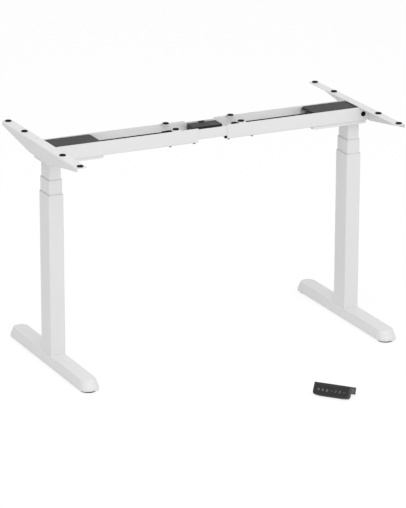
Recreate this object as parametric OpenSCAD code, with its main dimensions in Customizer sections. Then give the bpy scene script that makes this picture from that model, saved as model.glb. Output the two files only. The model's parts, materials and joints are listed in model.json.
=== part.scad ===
// Height-adjustable desk frame: two T feet, two three-stage lifting columns,
// a width-adjustable beam with its side brackets, a control box and a touch keypad.
// Origin on the floor midway between the columns. X runs along the beam, Y to the back.

/* [Frame] */
// Distance between the axes of the two columns
leg_spread = 1252; // [1240:1:1330]
// Part of the middle column that shows above the outer one
middle_show = 56; // [48:1:90]
// Part of the inner column that shows above the middle one
inner_show = 66; // [58:1:90]
// Distance that each stage can rise from here
stage_rise = 200; // [120:5:215]
// Distance that each stage can sink from here
stage_sink = 46; // [20:1:46]

/* [Feet] */
// Length of a foot from front to back
foot_l = 714; // [640:2:760]
// Width of a foot at the floor
foot_w = 75; // [72:0.5:86]
// Height of the pressed shell
foot_h = 39.5; // [34:0.5:48]
// Height of the upright lip round the bottom
foot_lip = 8; // [5:0.5:12]
// Thickness of the pressed sheet
foot_t = 2.5; // [1.5:0.1:3.5]
// How far the long sides lean in
foot_lean = 7.5; // [5:0.25:7.5]
// How far the ends lean in
foot_nose = 15; // [10:0.5:24]
// Radius of the foot's corners in plan
foot_round = 32; // [26:0.5:34]
// Diameter of a levelling pad
pad_d = 60; // [50:1:62]
// Height of a levelling pad
pad_h = 7; // [5:0.5:10]
// Gap left between pad and foot when screwed in
pad_gap = 1; // [0.5:0.1:2]
// Distance of a pad's centre from the end of the foot
pad_inset = 38; // [36:1:60]
// Diameter of the levelling stud
stud_d = 10; // [8:0.5:12]
// Length of the levelling stud above its pad
stud_l = 31; // [26:0.5:33]
// Wall of the threaded boss round the stud
boss_wall = 4; // [2.5:0.5:6]

/* [Columns] */
// Width of the outer column from front to back
outer_w = 90; // [84:1:110]
// Depth of the outer column along the beam
outer_d = 60; // [57:1:60]
// Length of the outer column
outer_l = 627.5; // [560:2.5:680]
// Length of the middle column
middle_l = 600; // [520:5:680]
// Length of the inner column
inner_l = 590; // [500:5:660]
// Wall of the column tubes
tube_t = 1.5; // [1.2:0.1:1.6]
// Step from one tube's side to the next
tube_step = 3; // [2.8:0.1:3.4]
// Corner radius of the tubes
tube_r = 4; // [3:0.25:6]
// Height of a plastic guide between two tubes
guide_h = 40; // [20:1:60]
// Thickness of the plates inside the lower tube ends
plate_t = 8; // [5:0.5:12]
// Diameter of the fixed base screw
screw_d = 14; // [12:0.5:15]
// Outside diameter of the hollow screw
hollow_d = 24; // [22:0.5:28]
// Height of the collars at the foot of each screw
collar_h = 5; // [3:0.5:8]
// Room left under a tube at its lowest
sink_gap = 4; // [2:0.5:10]
// Diameter of the bolts that hold the column to its foot
bolt_d = 8; // [6:0.5:10]

/* [Beam] */
// Width of the outer rails from front to back
rail_w = 120; // [114:1:140]
// Height of the outer rails
rail_h = 55; // [50:1:66]
// Sheet thickness of all rails
rail_t = 2.5; // [2:0.1:3]
// Gap between the inner ends of the two outer rails
rail_gap = 122; // [110:1:160]
// Distance of that gap's middle from the middle of the beam
rail_shift = 11; // [0:1:20]
// Gap between the end of the head and the end wall of its rail
end_gap = 1; // [1:0.1:6]
// Radius of the rail's lower outer corner
rail_round = 6; // [4:1:26]
// Distance between the centre rail's end and the head
centre_room = 4; // [3:1:120]
// Height of the centre rail above the outer rail's floor
centre_lift = 8.5; // [4:0.25:10]
// Play on each side between nested rails
nest_gap = 0.6; // [0.4:0.1:1]
// Play between parts that are clamped or guided
seat_gap = 0.3; // [0.2:0.05:0.4]
// Play round screws, and of guides in their tube
fit_gap = 0.1; // [0.05:0.01:0.15]
// Distance from the middle of the beam to a rail pad
tab_x = 136; // [125:1:150]
// Length of a tab along the rail
tab_l = 28; // [28:1:36]
// Reach of a tab over the channel
tab_reach = 28; // [25:0.5:30]
// Distance of a rail pad from the rail's side
tab_inset = 15.5; // [14:0.25:16]
// Diameter of the clamp screws
clamp_d = 6; // [5:0.5:8]
// Diameter of a clamp screw's head
clamp_head = 11; // [9:0.5:12]
// Distance from the rail's inner end to the first clamp screw
clamp_first = 11; // [7:0.5:14]
// Distance between two clamp screws
clamp_pitch = 99; // [60:1:140]
// Reach of a clamp screw's head below the rail
clamp_drop = 6; // [4:0.5:8]

/* [Leg heads] */
// Room above the gearbox, under the cover
gear_gap = 8.5; // [3:0.5:16]
// Room between the gearbox and the outer end of the head
gear_end = 4; // [3:0.5:12]
// Room between the motor and the inner end of the head
motor_end = 31; // [28:0.5:60]
// Radius of the head's lower corners
head_round = 5; // [4:1:20]
// Height of the head's end walls
head_wall = 18; // [12:1:20]
// Depth of the cover's lips below the rail's top
lip_drop = 3; // [2:0.25:6]
// Width of the lips that carry the cover
lip_w = 6; // [4:0.5:10]
// Thickness of the motor cover
cover_t = 2; // [1.5:0.1:2.5]
// Distance of the cover's side from the head's side
cover_edge = 4.9; // [3:0.1:7]
// Distance of the cover's inner end from the head's inner end
cover_short = 8; // [0:0.5:12]
// Gap between the cover and the bracket's flange
cover_gap = 4; // [1:0.25:8]
// Radius of the cover's inner corners
cover_round = 9; // [4:0.5:12]
// Depth of the cover's inner skirt
cover_skirt = 8; // [6:0.5:12]
// Diameter of the motor
motor_d = 50; // [40:1:52]
// Length of the motor
motor_l = 118; // [90:1:124]
// Length of the gearbox along the beam
gear_l = 78; // [66:1:84]
// Width of the gearbox
gear_w = 66; // [50:1:80]
// Height of the gearbox
gear_h = 52; // [46:0.5:54]
// Diameter of the motor cable
cable_d = 4.5; // [4:0.25:5]

/* [Side brackets] */
// Length of a side bracket
bracket_l = 700; // [640:2:760]
// Width of its flange
bracket_w = 40; // [38:0.5:48]
// Sheet thickness of the bracket
bracket_t = 3; // [2.5:0.1:4]
// Outer radius of the bracket's fold
bracket_round = 7; // [1:0.5:8]
// Depth of the web at its tips
web_tip = 14; // [10:0.5:20]
// Depth of the web at the middle
web_mid = 54; // [30:0.5:56]
// Half length of the deep part of the web
web_flat = 86; // [66:1:110]
// Distance of an outer pad from the bracket's end
pad_edge = 16; // [14:1:40]
// Distance between the two pads of one arm
pad_pitch = 157; // [110:1:200]
// Distance of the wood screw slots from the middle
slot_y = 68; // [66:0.5:90]
// Length of a slot
slot_l = 12; // [9:0.5:16]
// Width of a slot
slot_w = 5.5; // [4.5:0.25:6.5]
// Diameter of a rubber pad
cushion_d = 24; // [20:0.5:26]
// Height of a rubber pad
cushion_h = 4; // [3:0.25:6]
// Diameter of the desktop screw hole
desk_hole = 6.5; // [5:0.25:8]
// Diameter of the dark bolt head on the rail's side
plug_d = 20; // [14:0.5:24]

/* [Control box] */
// Length of the box
box_l = 120; // [100:1:126]
// Width of the box
box_w = 60; // [56:1:80]
// Height of the box
box_h = 38.5; // [30:0.5:39]
// Distance of the box's middle from the middle of the beam
box_x = 5; // [0:1:10]
// Height of its lid
lid_h = 10; // [7:0.5:14]
// Wall of the box
box_t = 2; // [1.5:0.1:2.5]
// Thickness of the circuit board
board_t = 1.6; // [1.2:0.1:2]
// Diameter of the stop screw's head
stop_d = 9; // [8:0.25:9.5]

/* [Keypad] */
// Width of the keypad
key_w = 140; // [120:1:160]
// Depth of the keypad
key_d = 68; // [60:1:80]
// Height of the keypad at its front
key_front = 48; // [42:0.5:56]
// Height of the keypad at its back
key_back = 25; // [20:0.5:28]
// Forward reach of the front face's lower edge
key_reach = 8; // [4:0.5:12]
// Wall of the housing
key_t = 2.5; // [2:0.1:3]
// Thickness of the steel plate on top
key_plate = 1.5; // [1:0.1:2]
// Margin of the touch panel inside the front face
panel_edge = 6; // [5:0.5:8]
// Thickness of the touch panel
panel_t = 1.5; // [1:0.1:2]
// Where the keypad stands, along the beam
key_x = 150; // [-200:5:300]
// Where the keypad stands, in front of the beam
key_y = -770; // [-900:5:-700]
// Direction in which the keypad is turned
key_turn = -49; // [-60:1:-30]

/* [Hidden] */
$fn = 64;

left = -1;
right = 1;
front = -1;
back = 1;
over = 1;
white = "gainsboro";
dark = "dimgray";

leg_x = leg_spread / 2;
foot_z = pad_h + pad_gap;
outer_z = foot_z + foot_h;
outer_top = outer_z + outer_l;
tube_low = plate_t + collar_h + stage_sink + sink_gap;
middle_top = max(outer_top + middle_show, outer_z + tube_low + middle_l);
middle_z = middle_top - middle_l;
head_z = max(middle_top + inner_show, middle_z + tube_low + inner_l);
inner_z = head_z - inner_l;
inside_h = max(gear_h, motor_d + cover_t);
rail_z = head_z + rail_t + inside_h + gear_gap + lip_drop - rail_h;
steel_top = rail_z + rail_h;
top_z = steel_top + bracket_t;

middle_w = outer_w - 2 * tube_step;
middle_d = outer_d - 2 * tube_step;
inner_w = middle_w - 2 * tube_step;
inner_d = middle_d - 2 * tube_step;

foot_corner = min(foot_round, foot_w / 2 - foot_t);
foot_top_w = foot_w - 2 * foot_lean;
foot_top_l = foot_l - 2 * foot_nose;
pad_y = foot_l / 2 - pad_inset;
boss_d = stud_d + 2 * boss_wall;
stud_top = pad_h + stud_l;
foot_bolt_x = outer_d / 4;
foot_bolt_y = outer_w / 3;
foot_bolt_head = 1.6 * bolt_d;
foot_bolt_top = outer_z + 0.9 * plate_t;
foot_bolt_head_h = 0.8 * bolt_d;

hollow_bore = screw_d + 2 * fit_gap;
hollow_top = middle_top - tube_step;
base_screw_top = middle_z + stage_rise + guide_h;
shaft_z = max(base_screw_top + 2 * stage_sink, middle_z + plate_t + stage_rise) + guide_h;
collar_d = hollow_d + 2 * collar_h;

rail_outer = leg_x + gear_l / 2 + gear_end + end_gap + rail_t;
rail_floor = rail_z + rail_t;
rail_in_y = rail_w / 2 - rail_t;
nested_y = rail_in_y - nest_gap;
centre_z = rail_floor + centre_lift;
centre_floor = centre_z + rail_t;
centre_top = steel_top - 2 * rail_t;
tab_y = rail_w / 2 - tab_inset;
tab_in = tab_x - tab_l / 2;
tab_out = tab_x + tab_l / 2;
clamp_y = nested_y - clamp_head;

bracket_out = rail_outer + bracket_t;
bracket_in = bracket_out - bracket_w;
bracket_x = bracket_out - bracket_w / 2;
pad_far = bracket_l / 2 - pad_edge;
pad_near = pad_far - pad_pitch;
bracket_screw_y = rail_w / 3;
bracket_screw_d = 5;
bracket_screw_head = 9;
bracket_screw_z = [rail_z + rail_round + bracket_screw_head, steel_top - bracket_screw_head];
web_screw_grip = 2 * bracket_t / 3;
plug_z = rail_z + rail_h / 2;
plug_x = bracket_in + bracket_w / 2;
plug_t = 1.5;
plug_shank = plug_d / 2;
plug_nut = 1.6 * plug_shank;
plug_nut_h = 0.6 * plug_shank;

head_y = nested_y;
head_x0 = leg_x - gear_l / 2 - motor_l - motor_end;
head_x1 = leg_x + gear_l / 2 + gear_end;
head_floor = head_z + rail_t;
lip_top = steel_top - lip_drop;
centre_l = 2 * (head_x0 - centre_room);
cover_y = head_y - cover_edge;
cover_x0 = head_x0 + cover_short;
cover_x1 = bracket_in - cover_gap;
motor_z = head_floor + motor_d / 2 + cover_t;
gear_x0 = leg_x - gear_l / 2;
gear_x1 = leg_x + gear_l / 2;
gear_round = head_round - rail_t;
motor_x0 = gear_x0 - motor_l;
shaft_hole = 2 * screw_d;
cable_y = -nested_y + rail_t + 4.4 * cable_d;
cable_z = steel_top - rail_t - seat_gap - cable_d / 2;
notch_y = [cable_y + 0.3 * cable_d, cable_y + 2.2 * cable_d];
cable_steps = 4;
cable_sides = 12;
cable_run = 28;
plug_body = 10;
plug_body_l = 38;
plug_body_short = 20;

box_z = centre_floor;
box_top = box_z + box_h;
lid_z = box_top - lid_h;
board_z = box_z + box_h / 4;
board_post = 6;
socket_l = 14;
socket_w = 12;
socket_h = 9;
socket_y = box_w / 4;
stop_x = rail_gap / 2 + rail_shift - stop_d / 2 - fit_gap;
stop_y = -nested_y + stop_d / 2;

face_lean = atan2(key_reach, key_front);
step_y = key_d / 3;
sole_y = key_d / 7;
key_tip = atan2(key_front - key_back, key_d - sole_y);
key_lift = sole_y * sin(key_tip) + key_front * cos(key_tip);
panel_round = key_front / 3;
key_hole = 5;
key_access = 9;
key_hole_edge = 9;
port_w = 14;
port_h = 6.5;
port_l = 12;
port_t = 0.8;

// Block between two corners
module block(low, high) {
    translate(low)
        cube(high - low);
}

// Rectangle with round corners, centred
module round_rect(w, d, r) {
    square([w - 2 * r, d], center = true);
    square([w, d - 2 * r], center = true);
    for (sx = [-1, 1])
        for (sy = [-1, 1])
            translate([sx * (w / 2 - r), sy * (d / 2 - r)])
                circle(r = r);
}

// Round-cornered tube that stands on the XY plane
module tube(w, d, wall, h, r_out, r_in) {
    difference() {
        linear_extrude(h)
            round_rect(w, d, r_out);
        translate([0, 0, -over])
            linear_extrude(h + 2 * over)
                round_rect(w - 2 * wall, d - 2 * wall, r_in);
    }
}

// Outline drawn in X and Z, pushed back along Y from y0 to y1
module along_y(y0, y1) {
    translate([0, y1, 0])
        rotate([90, 0, 0])
            linear_extrude(y1 - y0)
                children();
}

// Outline drawn in Y and Z, pushed along X from x0 to x1
module along_x(x0, x1) {
    translate([x0, 0, 0])
        rotate([90, 0, 90])
            linear_extrude(x1 - x0)
                children();
}

// Round bar along Y or X
module bar_y(d, y0, y1) {
    translate([0, y1, 0])
        rotate([90, 0, 0])
            cylinder(d = d, h = y1 - y0);
}

module bar_x(d, x0, x1) {
    translate([x0, 0, 0])
        rotate([0, 90, 0])
            cylinder(d = d, h = x1 - x0);
}

// The parts are drawn for the right end, and mirrored for the left one
module at_side(side) {
    mirror([side == left ? 1 : 0, 0, 0])
        children();
}

module at_leg(side) {
    at_side(side)
        translate([leg_x, 0, 0])
            children();
}

// Pressed foot: an upright lip, then sides and ends that lean in
module foot_skin(inset, z_low, z_high) {
    hull() {
        translate([0, 0, z_low])
            linear_extrude(foot_z + foot_lip - z_low)
                round_rect(foot_w - 2 * inset, foot_l - 2 * inset, foot_corner - inset);
        translate([0, 0, z_high - fit_gap])
            linear_extrude(fit_gap)
                round_rect(foot_top_w - 2 * inset, foot_top_l - 2 * inset,
                           foot_corner - foot_lean - inset);
    }
}

module foot(side) {
    color(white)
        at_leg(side)
            difference() {
                union() {
                    difference() {
                        foot_skin(0, foot_z, outer_z);
                        foot_skin(foot_t, foot_z - over, outer_z - foot_t);
                    }
                    for (end = [front, back])
                        translate([0, end * pad_y, foot_z + foot_lip])
                            cylinder(d = boss_d, h = foot_h - foot_lip - foot_t / 2);
                }
                for (end = [front, back])
                    translate([0, end * pad_y, foot_z - over])
                        cylinder(d = stud_d + 2 * fit_gap, h = stud_top + 2 * over - foot_z);
                for (sx = [-1, 1])
                    for (sy = [-1, 1])
                        translate([sx * foot_bolt_x, sy * foot_bolt_y, outer_z - foot_h / 2])
                            cylinder(d = bolt_d + 2 * fit_gap, h = foot_h);
            }
}

// Four cap screws that come up from inside the foot
module foot_bolts(side) {
    color("silver")
        at_leg(side)
            for (sx = [-1, 1])
                for (sy = [-1, 1])
                    translate([sx * foot_bolt_x, sy * foot_bolt_y, 0]) {
                        translate([0, 0, outer_z - foot_t - foot_bolt_head_h])
                            cylinder(d = foot_bolt_head, h = foot_bolt_head_h);
                        translate([0, 0, outer_z - foot_t - foot_bolt_head_h])
                            cylinder(d = bolt_d, h = foot_bolt_top - outer_z + foot_t + foot_bolt_head_h);
                    }
}

// Levelling pad with its threaded stud
module glide(side, end) {
    color("black")
        at_leg(side)
            translate([0, end * pad_y, 0]) {
                cylinder(d = pad_d, h = pad_h);
                cylinder(d = stud_d, h = stud_top);
            }
}

// Outer column with the plate that the foot bolts screw into
module outer_column(side) {
    color(white)
        at_leg(side)
            translate([0, 0, outer_z]) {
                tube(outer_d, outer_w, tube_t, outer_l, tube_r, tube_r - tube_t);
                difference() {
                    linear_extrude(plate_t)
                        round_rect(outer_d - tube_t, outer_w - tube_t, tube_r);
                    for (sx = [-1, 1])
                        for (sy = [-1, 1])
                            translate([sx * foot_bolt_x, sy * foot_bolt_y, -over])
                                cylinder(d = bolt_d + 2 * fit_gap, h = plate_t + 2 * over);
                }
            }
}

// Plastic guide fixed in the mouth of a tube, round the next tube
module mouth_guide(w, d, top) {
    translate([0, 0, top - guide_h])
        tube(w - 2 * tube_t - 2 * fit_gap, d - 2 * tube_t - 2 * fit_gap,
             tube_step - tube_t - fit_gap - seat_gap, guide_h - seat_gap,
             tube_r - tube_t, tube_r + seat_gap);
}

// Plastic guide fixed round the lower end of a tube
module shoe_guide(w, d, bottom) {
    translate([0, 0, bottom])
        tube(w + 2 * (tube_step - tube_t - seat_gap), d + 2 * (tube_step - tube_t - seat_gap),
             tube_step - tube_t - seat_gap - fit_gap, guide_h,
             tube_r, tube_r + fit_gap);
}

module outer_guide(side) {
    color(dark)
        at_leg(side)
            mouth_guide(outer_d, outer_w, outer_top);
}

// Fixed screw that stands on the base plate, with its collar
module base_screw(side) {
    color("silver")
        at_leg(side)
            translate([0, 0, outer_z + plate_t]) {
                cylinder(d = collar_d, h = collar_h);
                cylinder(d = screw_d, h = base_screw_top - outer_z - plate_t);
            }
}

// Middle column with the bearing plate in its lower end
module middle_column(side) {
    color(white)
        at_leg(side)
            translate([0, 0, middle_z]) {
                tube(middle_d, middle_w, tube_t, middle_l, tube_r, tube_r - tube_t);
                difference() {
                    linear_extrude(plate_t)
                        round_rect(middle_d - tube_t, middle_w - tube_t, tube_r);
                    translate([0, 0, -over])
                        cylinder(d = hollow_d + 2 * fit_gap, h = plate_t + 2 * over);
                }
            }
}

module middle_guides(side) {
    color(dark)
        at_leg(side) {
            mouth_guide(middle_d, middle_w, middle_top);
            shoe_guide(middle_d, middle_w, middle_z);
        }
}

// Hollow screw that turns in the bearing plate and carries the inner column's nut
module hollow_screw(side) {
    color("silver")
        at_leg(side)
            difference() {
                union() {
                    translate([0, 0, middle_z])
                        cylinder(d = hollow_d, h = hollow_top - middle_z);
                    translate([0, 0, middle_z + plate_t])
                        cylinder(d = collar_d, h = collar_h);
                }
                translate([0, 0, middle_z - over])
                    cylinder(d = hollow_bore, h = hollow_top - middle_z + 2 * over);
            }
}

// Inner column with the nut plate in its lower end
module inner_column(side) {
    color(white)
        at_leg(side)
            translate([0, 0, inner_z]) {
                tube(inner_d, inner_w, tube_t, inner_l, tube_r, tube_r - tube_t);
                difference() {
                    linear_extrude(plate_t)
                        round_rect(inner_d - tube_t, inner_w - tube_t, tube_r);
                    translate([0, 0, -over])
                        cylinder(d = hollow_d + 2 * fit_gap, h = plate_t + 2 * over);
                }
            }
}

module inner_guide(side) {
    color(dark)
        at_leg(side)
            shoe_guide(inner_d, inner_w, inner_z);
}

// Outline of the head from the front, with its lower corners rounded
module head_outline(inset) {
    translate([head_x0 + head_round, head_z + inset])
        square([head_x1 - head_x0 - 2 * head_round, lip_top - head_z]);
    translate([head_x0 + inset, head_z + head_round])
        square([head_x1 - head_x0 - 2 * inset, lip_top - head_z]);
    for (x = [head_x0 + head_round, head_x1 - head_round])
        translate([x, head_z + head_round])
            circle(r = head_round - inset);
}

// Steel tray on top of the inner column, open at the top, with lips for the cover
module head(side) {
    color(white)
        at_side(side)
            difference() {
                intersection() {
                    along_y(-head_y, head_y)
                        head_outline(0);
                    block([head_x0, -head_y, head_z], [head_x1, head_y, lip_top]);
                }
                difference() {
                    along_y(-head_y + rail_t, head_y - rail_t)
                        head_outline(rail_t);
                    for (sy = [-1, 1])
                        block([head_x0, sy * head_y - lip_w - rail_t, lip_top - cover_t],
                              [head_x1, sy * head_y + lip_w + rail_t, lip_top + rail_h]);
                }
                block([head_x0 - over, -head_y + rail_t + lip_w, head_z + head_wall],
                      [head_x1 + over, head_y - rail_t - lip_w, steel_top + over]);
                translate([leg_x, 0, head_z - over])
                    cylinder(d = shaft_hole, h = rail_t + 2 * over);
                translate([plug_x, 0, plug_z])
                    bar_y(plug_shank + 2 * fit_gap, -rail_w, rail_w);
            }
}

// Outline of the gearbox, rounded below as the tray is inside
module gear_outline() {
    translate([gear_x0 + gear_round, head_floor])
        square([gear_l - 2 * gear_round, gear_h]);
    translate([gear_x0, head_floor + gear_round])
        square([gear_l, gear_h - gear_round]);
    for (x = [gear_x0 + gear_round, gear_x1 - gear_round])
        translate([x, head_floor + gear_round])
            circle(r = gear_round);
}

// Gearbox that stands on the tray above the column
module gearbox(side) {
    color("silver")
        at_side(side)
            difference() {
                along_y(-gear_w / 2, gear_w / 2)
                    gear_outline();
                translate([leg_x, 0, head_floor - over])
                    cylinder(d = screw_d + 2 * fit_gap, h = gear_h - tube_r + over);
            }
}

// Motor with its rear cap, flanged to the gearbox
module motor(side) {
    color(dark)
        at_side(side)
            translate([0, 0, motor_z]) {
                bar_x(motor_d, motor_x0 + motor_l / 6, gear_x0);
                bar_x(motor_d * 0.9, motor_x0, gear_x0);
            }
}

// Shaft from the gearbox down into the hollow screw
module drive_shaft(side) {
    color("silver")
        at_leg(side)
            translate([0, 0, shaft_z])
                cylinder(d = screw_d, h = head_floor + gear_h / 2 - shaft_z);
}

// Sheet cover over motor and gearbox, with a skirt at its inner end
module motor_cover(side) {
    color(dark)
        at_side(side)
            difference() {
                union() {
                    block([cover_x0 + cover_round, -cover_y, lip_top],
                          [cover_x1, cover_y, lip_top + cover_t]);
                    block([cover_x0, -cover_y + cover_round, lip_top],
                          [cover_x1, cover_y - cover_round, lip_top + cover_t]);
                    for (sy = [-1, 1])
                        translate([cover_x0 + cover_round, sy * (cover_y - cover_round), lip_top])
                            cylinder(r = cover_round, h = cover_t);
                    block([cover_x0, -cover_y + cover_round, lip_top + cover_t - cover_skirt],
                          [cover_x0 + cover_t, cover_y - cover_round, lip_top + cover_t]);
                }
                block([cover_x0 - over, notch_y[0], lip_top + cover_t - cover_skirt - over],
                      [cover_x0 + cover_t + over, notch_y[1], lip_top - fit_gap]);
            }
}

// Route of the motor cable: out of the motor's end, forward, then along the front wall
function cable_route(end_x) = [
    [motor_x0, -motor_d / 5, motor_z],
    [motor_x0 - cable_d, -motor_d / 5, motor_z],
    [motor_x0 - 2 * cable_d, -motor_d / 5, motor_z],
    [motor_x0 - 4 * cable_d, -motor_d / 2, motor_z + cable_d],
    [cover_x0 + cable_d, cable_y + 1.5 * cable_d, cable_z - 1.2 * cable_d],
    [cover_x0 - cable_d, cable_y + cable_d / 2, cable_z - cable_d / 4],
    [cover_x0 - 4 * cable_d, cable_y, cable_z],
    [cover_x0 - 2 * cable_run, cable_y, cable_z],
    [(cover_x0 + end_x) / 2, cable_y, cable_z],
    [end_x + cable_run, cable_y, cable_z],
    [end_x, cable_y, cable_z]
];

function unit(v) = v / norm(v);
function blend(a, b, c, d, t) =
    0.5 * (2 * b + (c - a) * t + (2 * a - 5 * b + 4 * c - d) * t * t
           + (3 * b - a - 3 * c + d) * t * t * t);
function smooth(p, n) = concat(
    [for (i = [0 : len(p) - 2])
        for (k = [0 : n - 1])
            blend(p[max(i - 1, 0)], p[i], p[i + 1], p[min(i + 2, len(p) - 1)], k / n)],
    [p[len(p) - 1]]);
function heading(p, i) = unit(p[min(i + 1, len(p) - 1)] - p[max(i - 1, 0)]);
function ring(c, t, r, sides) =
    let (s = unit(cross(t, [0, 0, 1])), u = cross(s, t))
    [for (k = [0 : sides - 1]) c + r * (cos(360 * k / sides) * s + sin(360 * k / sides) * u)];

// Tube swept along a list of points
module swept(p, d, sides) {
    rings = [for (i = [0 : len(p) - 1]) ring(p[i], heading(p, i), d / 2, sides)];
    points = [for (r = rings) for (q = r) q];
    last = len(p) - 1;
    faces = concat(
        [[for (k = [sides - 1 : -1 : 0]) k]],
        [for (i = [0 : last - 1])
            for (k = [0 : sides - 1])
                [i * sides + k, i * sides + (k + 1) % sides,
                 (i + 1) * sides + (k + 1) % sides, (i + 1) * sides + k]],
        [[for (k = [0 : sides - 1]) last * sides + k]]);
    polyhedron(points = points, faces = faces, convexity = 4);
}

// Cable from the motor to its plug beside a tab
module motor_cable(side) {
    past_tab = side == right;
    plug_x0 = past_tab ? tab_in - plug_body_short : tab_out;
    plug_x1 = past_tab ? tab_in : tab_out + plug_body_l;
    color("black")
        at_side(side) {
            swept(smooth(cable_route(plug_x1 - over), cable_steps), cable_d, cable_sides);
            block([plug_x0, cable_y - plug_body / 2, steel_top - plug_body],
                  [plug_x1, cable_y + plug_body / 2, steel_top]);
        }
}

// Where the inner end of an outer rail lies, and its two rows of clamp screws
function rail_inner(side) = rail_gap / 2 + side * rail_shift;
function clamp_x(side) = [for (k = [0, 1]) rail_inner(side) + clamp_first + k * clamp_pitch];

// Outline of the outer rail from the front, with its lower outer corner rounded
module rail_outline(side, inset) {
    translate([rail_inner(side), rail_z + inset])
        square([rail_outer - rail_inner(side) - rail_round, rail_h]);
    translate([rail_inner(side), rail_z + rail_round])
        square([rail_outer - rail_inner(side) - inset, rail_h - rail_round]);
    translate([rail_outer - rail_round, rail_z + rail_round])
        circle(r = rail_round - inset);
}

// Outer rail: a channel open to the top, closed at its outer end, with two tabs
module rail(side) {
    color(white)
        at_side(side)
            difference() {
                union() {
                    difference() {
                        intersection() {
                            along_y(-rail_w / 2, rail_w / 2)
                                rail_outline(side, 0);
                            block([rail_inner(side), -rail_w / 2, rail_z],
                                  [rail_outer, rail_w / 2, steel_top]);
                        }
                        along_y(-rail_in_y, rail_in_y)
                            rail_outline(side, rail_t);
                        block([rail_inner(side) - over, -rail_in_y, rail_floor],
                              [rail_outer - rail_round, rail_in_y, steel_top + over]);
                        block([rail_outer - rail_h, -rail_in_y, rail_z + rail_round],
                              [rail_outer - rail_t, rail_in_y, steel_top + over]);
                        block([head_x0 - nest_gap, -rail_in_y, rail_z - over],
                              [rail_outer - rail_t - nest_gap, rail_in_y, rail_floor + rail_round]);
                    }
                    for (sy = [-1, 1]) {
                        block([tab_in, min(sy * rail_in_y, sy * rail_w / 2), steel_top - rail_t],
                              [tab_out, max(sy * rail_in_y, sy * rail_w / 2), top_z]);
                        block([tab_in, min(sy * rail_w / 2, sy * (rail_w / 2 - tab_reach)), top_z - rail_t],
                              [tab_out, max(sy * rail_w / 2, sy * (rail_w / 2 - tab_reach)), top_z]);
                    }
                }
                for (sy = [-1, 1])
                    translate([tab_x, sy * tab_y, top_z - rail_t - over])
                        cylinder(d = desk_hole, h = rail_t + 2 * over);
                for (x = clamp_x(side))
                    for (sy = [-1, 1])
                        translate([x, sy * clamp_y, rail_z - over])
                            cylinder(d = clamp_d + 2 * fit_gap, h = rail_t + 2 * over);
                translate([plug_x, 0, plug_z])
                    bar_y(plug_shank + 2 * fit_gap, -rail_w, rail_w);
                for (z = bracket_screw_z)
                    for (sy = [-1, 1])
                        translate([0, sy * bracket_screw_y, z])
                            bar_x(bracket_screw_d + 2 * fit_gap, rail_outer - rail_t - over,
                                  rail_outer + over);
            }
}

// Ring-shaped rubber pad with a hole for the desktop screw
module cushion() {
    difference() {
        cylinder(d = cushion_d, h = cushion_h);
        translate([0, 0, -over])
            cylinder(d = desk_hole, h = cushion_h + 2 * over);
    }
}

module rail_pads(side) {
    color("black")
        at_side(side)
            for (sy = [-1, 1])
                translate([tab_x, sy * tab_y, top_z])
                    cushion();
}

module bracket_pads(side) {
    color("black")
        at_side(side)
            for (y = [-pad_far, -pad_near, pad_near, pad_far])
                translate([bracket_x, y, top_z])
                    cushion();
}

module slot_outline() {
    square([slot_l - slot_w, slot_w], center = true);
    for (s = [-1, 1])
        translate([s * (slot_l - slot_w) / 2, 0])
            circle(d = slot_w);
}

// Angle of the bracket's flange and web from the front, with a round fold
module fold_outline(r) {
    translate([bracket_in, rail_z])
        square([bracket_w - r, top_z - rail_z]);
    translate([bracket_in, rail_z])
        square([bracket_w, top_z - rail_z - r]);
    translate([bracket_out - r, top_z - r])
        circle(r = r);
}

// Angle bracket whose web runs deeper toward the middle
module bracket(side) {
    half = bracket_l / 2;
    color(white)
        at_side(side)
            difference() {
                intersection() {
                    union() {
                        block([bracket_in, -half, steel_top], [bracket_out, half, top_z]);
                        along_x(rail_outer, bracket_out)
                            polygon([[-half, top_z], [-half, top_z - web_tip],
                                     [-web_flat, top_z - web_mid], [web_flat, top_z - web_mid],
                                     [half, top_z - web_tip], [half, top_z]]);
                    }
                    along_y(-half, half)
                        fold_outline(bracket_round);
                    translate([bracket_out - bracket_w / 2, 0, rail_z - over])
                        linear_extrude(top_z - rail_z + 2 * over)
                            round_rect(bracket_w, bracket_l, 2 * bracket_t);
                }
                for (y = [-pad_far, -pad_near, pad_near, pad_far])
                    translate([bracket_x, y, steel_top - over])
                        cylinder(d = desk_hole, h = bracket_t + 2 * over);
                for (sy = [-1, 1])
                    translate([bracket_x, sy * slot_y, steel_top - over])
                        linear_extrude(bracket_t + 2 * over)
                            slot_outline();
                for (z = bracket_screw_z)
                    for (sy = [-1, 1])
                        translate([0, sy * bracket_screw_y, z])
                            bar_x(bracket_screw_d + 2 * fit_gap, rail_outer - over,
                                  rail_outer + web_screw_grip + fit_gap);
            }
}

// Four screws from inside the rail's end wall into the bracket's web
module bracket_screws(side) {
    color("silver")
        at_side(side)
            for (z = bracket_screw_z)
                for (sy = [-1, 1])
                    translate([0, sy * bracket_screw_y, z]) {
                        bar_x(bracket_screw_head, rail_outer - rail_t - bracket_t, rail_outer - rail_t);
                        bar_x(bracket_screw_d, rail_outer - rail_t - bracket_t, rail_outer + web_screw_grip);
                    }
}

// Dark bolts that hold the head in the rail, with their nuts inside
module head_bolts(side) {
    color("black")
        at_side(side)
            for (sy = [-1, 1])
                mirror([0, sy == 1 ? 1 : 0, 0])
                    translate([plug_x, 0, plug_z]) {
                        bar_y(plug_d, -rail_w / 2 - plug_t, -rail_w / 2);
                        bar_y(plug_shank, -rail_w / 2 - plug_t, -head_y + rail_t + plug_nut_h);
                        bar_y(plug_nut, -head_y + rail_t, -head_y + rail_t + plug_nut_h);
                    }
}

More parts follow.
